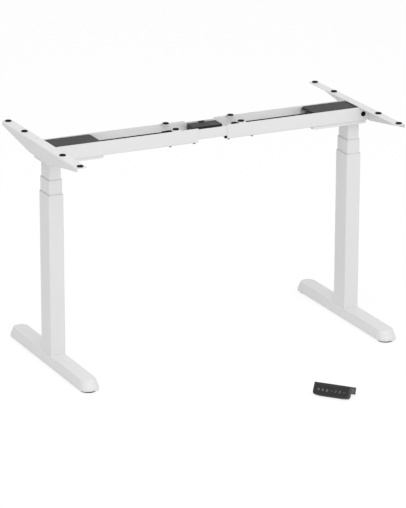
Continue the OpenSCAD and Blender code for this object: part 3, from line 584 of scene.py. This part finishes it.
metalLooks = {
    "zincSteel": {"colour": grey(0.5), "drift": grey(0.62), "film": 0.35,
                  "filmColour": (0.46, 0.47, 0.5, 1), "edgeColour": grey(0.75), "wear": 0.5,
                  "rough": 0.34, "grain": 0.0007, "depth": 0.00002, "edge": 0.0004,
                  "turn": 0.0015, "turnDepth": 0.0, "metallic": 1.0},
    # clamp heads: a dark steel finish, made darker still to paint the shade under the head trays
    "darkSteelAndPaintedShade": {"colour": grey(0.2), "drift": grey(0.27), "film": 0.35,
                  "filmColour": (0.16, 0.17, 0.19, 1), "edgeColour": grey(0.5), "wear": 0.5,
                  "rough": 0.4, "grain": 0.0007, "depth": 0.00002, "edge": 0.0004,
                  "turn": 0.0015, "turnDepth": 0.0, "metallic": 1.0},
    "threadSteel": {"colour": grey(0.42), "drift": grey(0.5), "film": 0.5,
                    "filmColour": (0.3, 0.28, 0.24, 1), "edgeColour": grey(0.7), "wear": 0.4,
                    "rough": 0.3, "grain": 0.0008, "depth": 0.0005, "edge": 0.0004,
                    "turn": 0.0015, "turnDepth": 1.0, "metallic": 1.0},
    "castAlloy": {"colour": grey(0.46), "drift": grey(0.54), "film": 0.4,
                  "filmColour": grey(0.4), "edgeColour": grey(0.66), "wear": 0.6,
                  "rough": 0.5, "grain": 0.0012, "depth": 0.00008, "edge": 0.0009,
                  "turn": 0.0015, "turnDepth": 0.0, "metallic": 1.0},
    "screwBlack": {"colour": grey(0.006), "drift": grey(0.01), "film": 0.3,
                   "filmColour": (0.012, 0.011, 0.01, 1), "edgeColour": grey(0.08), "wear": 0.45,
                   "rough": 0.5, "grain": 0.0006, "depth": 0.00002, "edge": 0.0005,
                   "turn": 0.0015, "turnDepth": 0.0, "metallic": 0.9},
}
materials = {}
for name, look in powderLooks.items():
    materials[name] = makePowder(name, look)
for name, look in plasticLooks.items():
    materials[name] = makePlastic(name, look)
for name, look in metalLooks.items():
    materials[name] = makeMetal(name, look)
materials["glassPanel"] = makeGlass("glassPanel", glassLook)
materials["iconPaint"] = makeIconPaint("iconPaint", inkLook)
materials["boardGreen"] = makeBoard("boardGreen", boardLook)

print("materials:", len(materials))


# feet: pressed shells with the threaded bosses for the levelling pads

foot = {"lip": 8 * mm, "sideLean": 7.5 * mm, "endLean": 15 * mm, "corner": 32 * mm,
        "cornerSteps": 14, "sheet": 2.5 * mm, "topRound": 2.6 * mm, "lipRound": 1.4 * mm,
        "bossRadius": 9 * mm, "bossEdge": 0.6 * mm, "bossSides": 40, "holeRadius": 5.1 * mm,
        "bossInset": 38 * mm, "bossTop": 1.25 * mm, "bossHole": 25 * mm, "topSteps": 4,
        "lipSteps": 2}


def makeFoot(side):
    low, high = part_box(side + "_foot")
    lipTop = low.z + foot["lip"]
    middle = (low + high) / 2
    piece = startBlock(side + "_foot_shell", low, (high.x, high.y, lipTop))
    roundWhere(piece, lambda e: alongAxis(e, 2), foot["corner"], foot["cornerSteps"])
    openEdit(piece)
    selectWhere(piece, "FACE", facesUp)
    bpy.ops.mesh.extrude_region_move(TRANSFORM_OT_translate={"value": (0, 0, high.z - lipTop)})
    size = high - low
    bpy.ops.transform.resize(value=(1 - 2 * foot["sideLean"] / size.x,
                                    1 - 2 * foot["endLean"] / size.y, 1),
                             center_override=(middle.x, middle.y, high.z))
    selectWhere(piece, "EDGE", lambda e: all(v.co.z > high.z - near["place"] for v in e.verts))
    bpy.ops.mesh.bevel(offset=foot["topRound"], segments=foot["topSteps"], affect="EDGES")
    selectWhere(piece, "EDGE", lambda e: all(abs(v.co.z - lipTop) < near["place"] for v in e.verts))
    bpy.ops.mesh.bevel(offset=foot["lipRound"], segments=foot["lipSteps"], affect="EDGES")
    selectWhere(piece, "FACE", facesDown)
    bpy.ops.mesh.delete(type="FACE")
    closeEdit()
    wall = piece.modifiers.new("sheet", "SOLIDIFY")
    wall.thickness = foot["sheet"]
    wall.offset = -1
    wall.use_even_offset = True
    bpy.ops.object.modifier_apply(modifier=wall.name)
    bosses = []
    mouth = foot["bossRadius"] - foot["bossEdge"]
    boss = turned("boss", [(lipTop, mouth), (lipTop + foot["bossEdge"], foot["bossRadius"]),
                           (high.z - foot["bossTop"], foot["bossRadius"])], foot["bossSides"])
    openEdit(boss)
    selectWhere(boss, "FACE", facesDown)
    bpy.ops.mesh.inset(thickness=mouth - foot["holeRadius"])
    bpy.ops.mesh.extrude_region_move(TRANSFORM_OT_translate={"value": (0, 0, foot["bossHole"])})
    closeEdit()
    reach = size.y / 2 - foot["bossInset"]
    for end in (-1, 1):
        bosses.append(placedCopy(boss, "boss", Matrix.Translation((middle.x, end * reach, 0))))
    dropped(boss)
    piece = joined(side + "_foot_shell", [piece] + bosses)
    smoothed(piece, 30)
    finished(piece, materials["powderWhite"], side + "_foot", side + "_foot")


for side in sideSigns:
    makeFoot(side)
print("feet: pressed shells")


# folded sheet and moulded housings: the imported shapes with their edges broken

edgeRounds = {"sheet": 0.5 * mm, "tube": 0.35 * mm, "cover": 0.7 * mm, "box": 0.9 * mm,
              "housing": 0.8 * mm, "plate": 0.35 * mm, "small": 0.2 * mm, "bend": 4.5 * mm,
              "lid": 2.2 * mm}


def formed(nodeName, pieceName, width, material, steps=2, bends=None, bendRadius=None, bendSteps=5):
    piece = cleanCopy(nodeName, pieceName)
    if bends:
        roundWhere(piece, lambda e: isSharp(e) and bends(e), bendRadius, bendSteps)
    roundEdges(piece, width, steps)
    smoothed(piece, 35)
    return finished(piece, materials[material], nodeName, nodeName)


def lowerBends(nodeName):
    # outer fold lines along the bottom of a channel
    low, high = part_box(nodeName)

    def test(edge):
        middle = middleOf(edge)
        onSide = min(abs(middle.y - low.y), abs(middle.y - high.y)) < near["place"]
        return onSide and alongAxis(edge, 0) and abs(middle.z - low.z) < near["place"]
    return test


for side in sideSigns:
    for part in ("outer", "middle", "inner"):
        formed(f"{side}_{part}_column", f"{side}_{part}_tube", edgeRounds["tube"], "powderWhite")
    formed(side + "_head", side + "_head_tray", edgeRounds["sheet"], "powderWhite")
    formed(side + "_rail", side + "_rail_channel", edgeRounds["sheet"], "powderWhite",
           bends=lowerBends(side + "_rail"), bendRadius=edgeRounds["bend"])
    formed(side + "_bracket", side + "_bracket_angle", edgeRounds["sheet"], "powderWhite")
    formed(side + "_motor_cover", side + "_cover_sheet", edgeRounds["cover"], "powderBlack")
    formed(side + "_gearbox", side + "_gearbox_case", edgeRounds["box"], "castAlloy", 3)
formed("centre_rail", "centre_channel", edgeRounds["sheet"], "powderWhite",
       bends=lowerBends("centre_rail"), bendRadius=edgeRounds["bend"])
print("sheet pieces: folded and broken edges")


# rubber pads under the desktop

padLook = {"radius": 12 * mm, "hole": 3.25 * mm, "height": 4 * mm, "rim": 1.1 * mm,
           "rimSteps": 4, "dish": 0.6 * mm, "dishInset": 2.4 * mm, "sides": 56}


def makePad():
    bpy.ops.object.select_all(action="DESELECT")
    bpy.ops.mesh.primitive_cylinder_add(vertices=padLook["sides"], radius=padLook["radius"],
                                        depth=padLook["height"],
                                        location=(0, 0, padLook["height"] / 2))
    piece = named("pad")
    openEdit(piece)
    selectWhere(piece, "FACE", lambda f: facesUp(f) or facesDown(f))
    bpy.ops.mesh.inset(thickness=padLook["radius"] - padLook["hole"], use_individual=True)
    bpy.ops.mesh.bridge_edge_loops()
    selectWhere(piece, "FACE", facesUp)
    bpy.ops.mesh.inset(thickness=padLook["dishInset"], depth=-padLook["dish"])
    top = padLook["height"]
    selectWhere(piece, "EDGE", lambda e: isSharp(e, 60) and middleOf(e).z > top - near["place"])
    bpy.ops.mesh.bevel(offset=padLook["rim"], segments=padLook["rimSteps"], affect="EDGES")
    bpy.ops.mesh.select_all(action="SELECT")
    bpy.ops.mesh.normals_make_consistent(inside=False)
    closeEdit()
    return smoothed(piece, 40)


def islandBoxes(nodeName):
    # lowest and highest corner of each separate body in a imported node
    probe = cleanCopy(nodeName, "probe")
    openEdit(probe)
    bpy.ops.mesh.separate(type="LOOSE")
    closeEdit()
    parts = [p for p in bpy.context.selected_objects if p.name.startswith("probe")]
    places = []
    for part in parts:
        corners = [v.co for v in part.data.vertices]
        low = Vector([min(c[i] for c in corners) for i in range(3)])
        high = Vector([max(c[i] for c in corners) for i in range(3)])
        places.append((low, high))
    dropped(*parts)
    places.sort(key=lambda box: tuple(round(n, 4) for n in box[0]))
    return places


padShape = makePad()
for side in sideSigns:
    for kind in ("rail_pads", "bracket_pads"):
        nodeName = f"{side}_{kind}"
        copies = []
        for low, high in islandBoxes(nodeName):
            middle = (low + high) / 2
            copies.append(placedCopy(padShape, "pad", Matrix.Translation((middle.x, middle.y, low.z))))
        piece = joined(f"{side}_rubber_{kind}", copies)
        finished(piece, materials["rubberBlack"], nodeName, nodeName)
dropped(padShape)
print("pads: rubber rings")


# levelling pads with their studs

glide = {"radius": 30 * mm, "height": 7 * mm, "hubRadius": 15 * mm, "hubTop": 9.5 * mm,
         "nutAcross": 17 * mm, "nutTop": 14 * mm, "nutEdge": 0.6 * mm, "nutTopShare": 0.98,
         "stud": 5 * mm, "root": 4.3 * mm, "pitch": 1.5 * mm, "runOut": 0.5 * mm,
         "sole": 1.6 * mm, "soft": 0.5 * mm, "sideFrom": 1.3 * mm, "sideTo": 2.2 * mm,
         "shoulder": 0.9 * mm, "topInset": 1.9 * mm, "hubFoot": 5 * mm, "hubEdge": 0.8 * mm,
         "sides": 64, "studSides": 28}


def makeGlide():
    radius, height, hub, soft = (glide[k] for k in ("radius", "height", "hubRadius", "soft"))
    base = turned("base", [(0, radius - glide["sole"]), (soft, radius - soft),
                           (glide["sideFrom"], radius), (height - glide["sideTo"], radius),
                           (height - glide["shoulder"], radius - soft),
                           (height, radius - glide["topInset"]), (height, hub + glide["hubFoot"]),
                           (glide["hubTop"] - soft, hub + glide["hubEdge"]),
                           (glide["hubTop"], hub)], glide["sides"])
    corner = glide["nutAcross"] / math.sqrt(3)
    nut = turned("nut", [(glide["hubTop"], corner), (glide["nutTop"] - glide["nutEdge"], corner),
                         (glide["nutTop"], glide["nutAcross"] / 2 * glide["nutTopShare"])], 6)
    low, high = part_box("left_front_glide")
    profile = [(glide["nutTop"], glide["root"])]
    turn = glide["nutTop"] + glide["runOut"]
    while turn < high.z - glide["pitch"]:
        profile += [(turn, glide["root"]), (turn + glide["pitch"] / 2, glide["stud"])]
        turn += glide["pitch"]
    profile += [(turn, glide["root"]), (high.z, glide["root"] - glide["runOut"])]
    stud = turned("stud", profile, glide["studSides"])
    return smoothed(joined("glide", [base, nut, stud]), 30)


glideShape = makeGlide()
for side in sideSigns:
    for end in ("front", "rear"):
        nodeName = f"{side}_{end}_glide"
        low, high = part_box(nodeName)
        piece = placedCopy(glideShape, f"{side}_{end}_pad",
                           Matrix.Translation(((low.x + high.x) / 2, (low.y + high.y) / 2, low.z)))
        finished(piece, materials["rubberBlack"], nodeName, nodeName)
dropped(glideShape)
print("levelling pads: bases, nuts and studs")


# screws: turned heads with hexagon sockets, facing +Z with the underside of the head at 0

screwLooks = {
    "clamp": {"head": 5.5 * mm, "height": 6 * mm, "socket": 5 * mm, "deep": 3 * mm,
              "rim": 0.7 * mm, "shank": 3 * mm, "length": 10.7 * mm},
    "headBolt": {"head": 10 * mm, "height": 1.5 * mm, "socket": 6 * mm, "deep": 1.2 * mm,
                 "rim": 0.9 * mm, "shank": 5 * mm, "length": 11.4 * mm},
    "stop": {"head": 4.5 * mm, "height": 9.75 * mm, "socket": 3 * mm, "deep": 2.5 * mm,
             "rim": 0.8 * mm, "shank": 2.15 * mm, "length": 6.1 * mm},
    "bracket": {"head": 4.5 * mm, "height": 3 * mm, "socket": 3 * mm, "deep": 1.6 * mm,
                "rim": 0.9 * mm, "shank": 2.5 * mm, "length": 4.5 * mm},
    "foot": {"head": 6.4 * mm, "height": 6.4 * mm, "socket": 6 * mm, "deep": 3.5 * mm,
             "rim": 0.7 * mm, "shank": 4 * mm, "length": 9.7 * mm},
    "keypad": {"head": 4 * mm, "height": 1.5 * mm, "socket": 2.5 * mm, "deep": 1 * mm,
               "rim": 0.7 * mm, "shank": 2.4 * mm, "length": 4 * mm},
}
screwShared = {"tip": 0.4 * mm, "rimDownShare": 0.4, "rimInShare": 0.25, "over": mm, "sides": 40}


def makeScrew(look):
    look = {**screwShared, **look}
    top, head, shank, rim, tip = (look[k] for k in ("height", "head", "shank", "rim", "tip"))
    profile = [(-look["length"], shank - tip), (-look["length"] + tip, shank), (0, shank),
               (0, head), (top - rim, head),
               (top - look["rimDownShare"] * rim, head - look["rimInShare"] * rim),
               (top, head - rim)]
    piece = turned("screw", profile, look["sides"])
    corner = look["socket"] / math.sqrt(3)
    socket = turned("socket", [(top - look["deep"], corner), (top + look["over"], corner)], 6)
    return smoothed(cutAway(piece, socket), 30)


def screwPlaces(nodeName, direction, headHeight):
    # the head's underside of each screw in a node, and the turn that points its head that way
    facing = Vector(direction)
    turn = facing.to_track_quat("Z", "X").to_matrix().to_4x4()
    places = []
    for low, high in islandBoxes(nodeName):
        middle = (low + high) / 2
        axis = max(range(3), key=lambda i: abs(facing[i]))
        middle[axis] = (high if facing[axis] > 0 else low)[axis] - facing[axis] * headHeight
        places.append(Matrix.Translation(middle) @ turn)
    return places


def setScrews(nodeName, pieceName, look, directionOf, material):
    screw = makeScrew(screwLooks[look])
    copies = []
    for place in directionOf(nodeName, screwLooks[look]["height"]):
        copies.append(placedCopy(screw, "screw", place))
    dropped(screw)
    piece = joined(pieceName, copies)
    finished(piece, materials[material], nodeName, nodeName)


def facingDown(nodeName, height):
    return screwPlaces(nodeName, (0, 0, -1), height)


def facingOut(nodeName, height):
    # one head on the front wall, one on the back wall
    both = screwPlaces(nodeName, (0, -1, 0), height), screwPlaces(nodeName, (0, 1, 0), height)
    return [place for places, sign in zip(both, (-1, 1)) for place in places
            if place.translation.y * sign > 0]


for side, sign in sideSigns.items():
    def facingIn(nodeName, height, sign=sign):
        return screwPlaces(nodeName, (-sign, 0, 0), height)
    # clamp heads take the dark steel whose extra darkness is painted shade
    setScrews(side + "_clamp_screws", side + "_clamp_heads", "clamp", facingDown, "darkSteelAndPaintedShade")
    setScrews(side + "_head_bolts", side + "_side_bolts", "headBolt", facingOut, "screwBlack")
    setScrews(side + "_bracket_screws", side + "_wall_screws", "bracket", facingIn, "zincSteel")
    setScrews(side + "_foot_bolts", side + "_column_bolts", "foot", facingDown, "zincSteel")
setScrews("centre_stop_screw", "centre_stop_head", "stop", facingDown, "screwBlack")
print("screws: socket heads")


# motor cables: a smooth tube from the motor, with its plug beside the tab

cable = {"diameter": 4.5 * mm, "frontY": -34.6 * mm, "height": 857.95 * mm, "motorEnd": 469 * mm,
         "coverEnd": 446 * mm, "motorHeight": 826.5 * mm, "run": 28 * mm, "motorRadius": 25 * mm,
         "motorShare": 0.4, "plugSize": 10 * mm, "plugTop": 863 * mm, "inPlug": 1 * mm,
         "seamShare": 0.42, "latchHalf": 2.4 * mm, "latch": (4 * mm, 5 * mm), "latchDown": 0.8 * mm,
         "capDown": 0.6 * mm, "seamDown": 1.4 * mm, "seam": 1 * mm, "step": 0.5 * mm,
         "plug": {"left": (150 * mm, 188 * mm), "right": (102 * mm, 122 * mm)},
         "tubeSteps": 5, "curveSteps": 8}


def cablePoints(side):
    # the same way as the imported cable, in metres, drawn for the right-hand end
    d = cable["diameter"]
    start, coverX, y, z = cable["motorEnd"], cable["coverEnd"], cable["frontY"], cable["height"]
    motorZ, motorY = cable["motorHeight"], -cable["motorShare"] * cable["motorRadius"]
    end = cable["plug"][side][1] - cable["inPlug"]
    corners = [(start, motorY, motorZ), (start - d, motorY, motorZ), (start - 2 * d, motorY, motorZ),
               (start - 4 * d, -cable["motorRadius"], motorZ + d),
               (coverX + d, y + 1.5 * d, z - 1.2 * d), (coverX - d, y + d / 2, z - d / 4),
               (coverX - 4 * d, y, z), (coverX - 2 * cable["run"], y, z),
               ((coverX + end) / 2, y, z), (end + cable["run"], y, z), (end, y, z)]
    corners = [Vector(c) for c in corners]
    points = []
    for i in range(len(corners) - 1):
        a, b = corners[max(i - 1, 0)], corners[i]
        c, e = corners[i + 1], corners[min(i + 2, len(corners) - 1)]
        for k in range(cable["curveSteps"]):
            t = k / cable["curveSteps"]
            points.append(0.5 * (2 * b + (c - a) * t + (2 * a - 5 * b + 4 * c - e) * t * t
                                 + (3 * b - a - 3 * c + e) * t ** 3))
    return points + [corners[-1]]


def makeCable(side, sign):
    curve = bpy.data.curves.new("cable", "CURVE")
    curve.dimensions = "3D"
    curve.bevel_depth = cable["diameter"] / 2
    curve.bevel_resolution = cable["tubeSteps"]
    curve.use_fill_caps = True
    points = [Vector((sign * p.x, p.y, p.z)) for p in cablePoints(side)]
    line = curve.splines.new("POLY")
    line.points.add(len(points) - 1)
    for spot, point in zip(line.points, points):
        spot.co = (*point, 1)
    tube = bpy.data.objects.new("cable", curve)
    scene.collection.objects.link(tube)
    pickOnly(tube)
    bpy.ops.object.convert(target="MESH")
    tube = bpy.context.object
    openEdit(tube)
    bpy.ops.mesh.select_all(action="SELECT")
    bpy.ops.mesh.remove_doubles(threshold=near["merge"])
    bpy.ops.mesh.normals_make_consistent(inside=False)
    closeEdit()
    # plug: two halves, a latch on top and a stepped cable end
    x0, x1 = cable["plug"][side]
    half, top = cable["plugSize"] / 2, cable["plugTop"]
    seam, gap, step = x0 + cable["seamShare"] * (x1 - x0), cable["seam"], cable["step"]
    latch, latchHalf, latchZ = cable["latch"], cable["latchHalf"], -cable["latchDown"]
    lows = [(x0, -half, -2 * half), (seam + step, -half + step, -2 * half + step),
            (seam - latch[0], -latchHalf, latchZ), (seam - gap, -half + gap, -2 * half + gap)]
    highs = [(seam - step, half, -cable["capDown"]), (x1, half - step, latchZ),
             (seam + latch[1], latchHalf, 0), (seam + gap, half - gap, -cable["seamDown"])]
    blocks = []
    for low, high in zip(lows, highs):
        low = (low[0], low[1] + cable["frontY"], low[2] + top)
        high = (high[0], high[1] + cable["frontY"], high[2] + top)
        if sign < 0:
            low, high = (-high[0], low[1], low[2]), (-low[0], high[1], high[2])
        blocks.append(roundEdges(startBlock("block", low, high), step))
    piece = joined(side + "_motor_lead", [tube] + blocks)
    smoothed(piece, 40)
    nodeName = side + "_motor_cable"
    finished(piece, materials["cablePvc"], nodeName, nodeName)


for side, sign in sideSigns.items():
    makeCable(side, sign)
print("motor cables: tube and plug")


# control box: deep lid with rounded corners and a rib at the back

formed("control_box", "control_case", edgeRounds["box"], "mouldedBlack")


def lidCorners(nodeName):
    low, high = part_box(nodeName)

    def test(edge):
        middle = middleOf(edge)
        atEnd = min(abs(middle.x - low.x), abs(middle.x - high.x)) < near["place"]
        return alongAxis(edge, 2) and atEnd
    return test


formed("control_lid", "control_cap", edgeRounds["box"], "boxPlastic", 3,
       bends=lidCorners("control_lid"), bendRadius=edgeRounds["lid"])
print("control box: case and cap")


# keypad, built in its own upright frame and then tipped and turned

keypad = {"width": 140 * mm, "depth": 68 * mm, "front": 48 * mm, "back": 25 * mm, "reach": 8 * mm,
          "turn": -49, "place": (150 * mm, -770 * mm), "iconHeight": 7.5 * mm, "line": 0.42 * mm,
          "iconLift": 0.08 * mm, "iconSunk": 0.02 * mm, "iconRow": -24 * mm,
          "iconPitchShare": 0.117, "lineRoundShare": 0.2, "screwUp": 1.5 * mm,
          "soleShare": 1 / 7, "screwShare": 1 / 6}
soleY = keypad["depth"] * keypad["soleShare"]
keypadTip = math.atan2(keypad["front"] - keypad["back"], keypad["depth"] - soleY)
keypadLift = soleY * math.sin(keypadTip) + keypad["front"] * math.cos(keypadTip)
keypadFrame = (Matrix.Translation((*keypad["place"], keypadLift))
               @ Matrix.Rotation(math.radians(keypad["turn"]), 4, "Z")
               @ Matrix.Rotation(-keypadTip, 4, "X"))
faceFrame = keypadFrame @ Matrix.Rotation(-math.atan2(keypad["reach"], keypad["front"]), 4, "X")

formed("keypad_housing", "keypad_body", edgeRounds["housing"], "mouldedBlack", 3)
formed("keypad_plate", "keypad_top", edgeRounds["plate"], "powderBlack")
formed("keypad_panel", "keypad_glass", edgeRounds["small"], "glassPanel")
formed("keypad_port", "keypad_socket", edgeRounds["small"], "zincSteel")

keyScrew = makeScrew(screwLooks["keypad"])
screwTop = Matrix.Translation((0, keypad["depth"] * keypad["screwShare"], keypad["screwUp"]))
keyScrewPiece = placedCopy(keyScrew, "keypad_plate_screw", keypadFrame @ screwTop)
dropped(keyScrew)
finished(keyScrewPiece, materials["zincSteel"], "keypad_screw", "keypad_screw")


def bar(x0, z0, x1, z1, width):
    # a thin printed stroke on the face, from one point to another
    start, end = Vector((x0, 0, z0)), Vector((x1, 0, z1))
    line = end - start
    length = line.length
    piece = startBlock("stroke", (-width / 2, -keypad["iconLift"], -width / 2),
                       (length + width / 2, keypad["iconSunk"], width / 2))
    roundEdges(piece, keypad["lineRoundShare"] * width)
    turn = Matrix.Rotation(-math.atan2(line.z, line.x), 4, "Y")
    piece.data.transform(Matrix.Translation(start) @ turn)
    return piece


def digitStrokes(digit, height, lean=0.16, halfWidthShare=0.27):
    # seven-segment figure, centred, leaning a little to the right
    half, w = height / 2, halfWidthShare * height
    segments = {"a": (-w, half, w, half), "b": (w, half, w, 0), "c": (w, 0, w, -half),
                "d": (-w, -half, w, -half), "e": (-w, -half, -w, 0), "f": (-w, 0, -w, half),
                "g": (-w, 0, w, 0)}
    lit = {"1": "bc", "2": "abged", "3": "abgcd"}[digit]
    return [(x0 + lean * z0, z0, x1 + lean * z1, z1) for x0, z0, x1, z1 in
            (segments[letter] for letter in lit)]


def ringStrokes(radius, count):
    corners = [(radius * math.sin(2 * math.pi * k / count), radius * math.cos(2 * math.pi * k / count))
               for k in range(count)]
    return [(*corners[k], *corners[(k + 1) % count]) for k in range(count)]


def iconStrokes(height):
    h = height / 2
    clock = ringStrokes(h, 16) + [(0, 0, 0, 0.62 * h), (0, 0, 0.42 * h, -0.24 * h)]
    tag = [(-0.6 * h, h, 0.6 * h, h), (0.6 * h, h, 0.6 * h, -h), (0.6 * h, -h, 0, -0.35 * h),
           (0, -0.35 * h, -0.6 * h, -h), (-0.6 * h, -h, -0.6 * h, h)]
    up = [(-h, 0.28 * h, 0, 1.5 * h), (0, 1.5 * h, h, 0.28 * h), (h, 0.28 * h, -h, 0.28 * h)]
    down = [(x0, -z0, x1, -z1) for x0, z0, x1, z1 in up]
    dashes = [(x, 0, x + 0.7 * h, 0) for x in (-1.6 * h, -0.35 * h, 0.9 * h)]
    return [clock, tag, up + down, digitStrokes("1", height), digitStrokes("2", height),
            digitStrokes("3", height), dashes]


strokes = []
icons = iconStrokes(keypad["iconHeight"])
pitch = keypad["iconPitchShare"] * keypad["width"]
for k, icon in enumerate(icons):
    atX = (k - (len(icons) - 1) / 2) * pitch
    for x0, z0, x1, z1 in icon:
        strokes.append(bar(atX + x0, keypad["iconRow"] + z0, atX + x1, keypad["iconRow"] + z1,
                           keypad["line"]))
iconPiece = joined("keypad_icons", strokes)
iconPiece.data.transform(faceFrame)
smoothed(iconPiece, 35)
finished(iconPiece, materials["iconPaint"], "keypad_panel")
print("keypad: body, plate, glass, socket and", len(strokes), "printed strokes")


# imported nodes that keep their own shape

# the guides' dark grey is painted shade: it draws the shadow line at each column step
carried = {"_base_screw": "threadSteel", "_hollow_screw": "threadSteel",
           "_drive_shaft": "threadSteel", "_outer_guide": "guidePlasticPaintedShade",
           "_middle_guides": "guidePlasticPaintedShade", "_inner_guide": "guidePlasticPaintedShade",
           "_motor": "powderBlack"}
for side in sideSigns:
    for ending, material in carried.items():
        for slot in nodes[side + ending].material_slots:
            slot.material = materials[material]
for slot in nodes["control_board"].material_slots:
    slot.material = materials["boardGreen"]
print("packed nodes: finishes")


# floor, light and camera

lighting = {"world": 0.69, "seen": 1.0, "floorColour": 0.86, "floorShare": 0.82,
            "floorGlow": 1.06, "floorSize": 60.0, "floorDown": 0.2 * mm}
lamps = {  # place, aim, size in metres, power in watts
    "keyLamp": ((0.8, -6.8, 3.2), (0, 0, 0.5), 4.6, 80.0),
    "topLamp": ((-1.6, -2.4, 5.2), (0, 0, 0.5), 4.0, 86.0),
}
cameraLook = {"place": (-4.85006934, -9.86368956, 3.9563736), "turn": 0.456987791,
              "down": 0.317512299, "roll": 0.00236493838, "focal": 3028.60031,
              "longSide": 508, "sensor": 36.0, "clip": (0.1, 200)}


def seenRays(tree):
    path = add(tree, "LightPath")
    both = add(tree, "Math", {0: (path, "Is Camera Ray"), 1: (path, "Is Glossy Ray")},
               operation="MAXIMUM")
    return (add(tree, "Math", {0: (both, 0), 1: (path, "Is Transmission Ray")},
                operation="MAXIMUM"), 0)


def makeWorld():
    world = bpy.data.worlds.new("studioAir")
    scene.world = world
    world.use_nodes = True
    tree = world.node_tree
    tree.nodes.clear()
    light = add(tree, "Background", {"Color": grey(1), "Strength": lighting["world"]})
    seen = add(tree, "Background", {"Color": grey(1), "Strength": lighting["seen"]})
    mix = add(tree, "MixShader", {0: seenRays(tree), 1: (light, 0), 2: (seen, 0)})
    add(tree, "OutputWorld", {"Surface": (mix, 0)})


def makeFloor():
    bpy.ops.object.select_all(action="DESELECT")
    bpy.ops.mesh.primitive_plane_add(size=lighting["floorSize"],
                                     location=(0, 0, -lighting["floorDown"]))
    floor = named("studio_floor")
    material, tree = startMaterial("floorPale")
    matt = add(tree, "BsdfDiffuse", {"Color": grey(lighting["floorColour"])})
    glow = add(tree, "Emission", {"Color": grey(1), "Strength": lighting["floorGlow"]})
    share = scaled(tree, seenRays(tree), lighting["floorShare"])
    mix = add(tree, "MixShader", {0: share, 1: (matt, 0), 2: (glow, 0)})
    add(tree, "OutputMaterial", {"Surface": (mix, 0)})
    floor.data.materials.append(material)


def makeLamps():
    for name, (place, aim, size, power) in lamps.items():
        bpy.ops.object.light_add(type="AREA", location=place)
        lamp = bpy.context.object
        lamp.name = name
        lamp.data.size = size
        lamp.data.energy = power
        lamp.rotation_euler = (Vector(aim) - Vector(place)).to_track_quat("-Z", "Y").to_euler()


def makeCamera():
    bpy.ops.object.camera_add()
    camera = bpy.context.object
    camera.name = "photoCamera"
    camera.data.sensor_width = cameraLook["sensor"]
    camera.data.lens = cameraLook["sensor"] * cameraLook["focal"] / cameraLook["longSide"]
    camera.data.clip_start, camera.data.clip_end = cameraLook["clip"]
    camera.matrix_world = (Matrix.Translation(cameraLook["place"])
                           @ Matrix.Rotation(-cameraLook["turn"], 4, "Z")
                           @ Matrix.Rotation(math.pi / 2 - cameraLook["down"], 4, "X")
                           @ Matrix.Rotation(cameraLook["roll"], 4, "Z"))
    scene.camera = camera


makeWorld()
makeFloor()
makeLamps()
makeCamera()
print("stage: floor, world,", len(lamps), "lamps and camera")
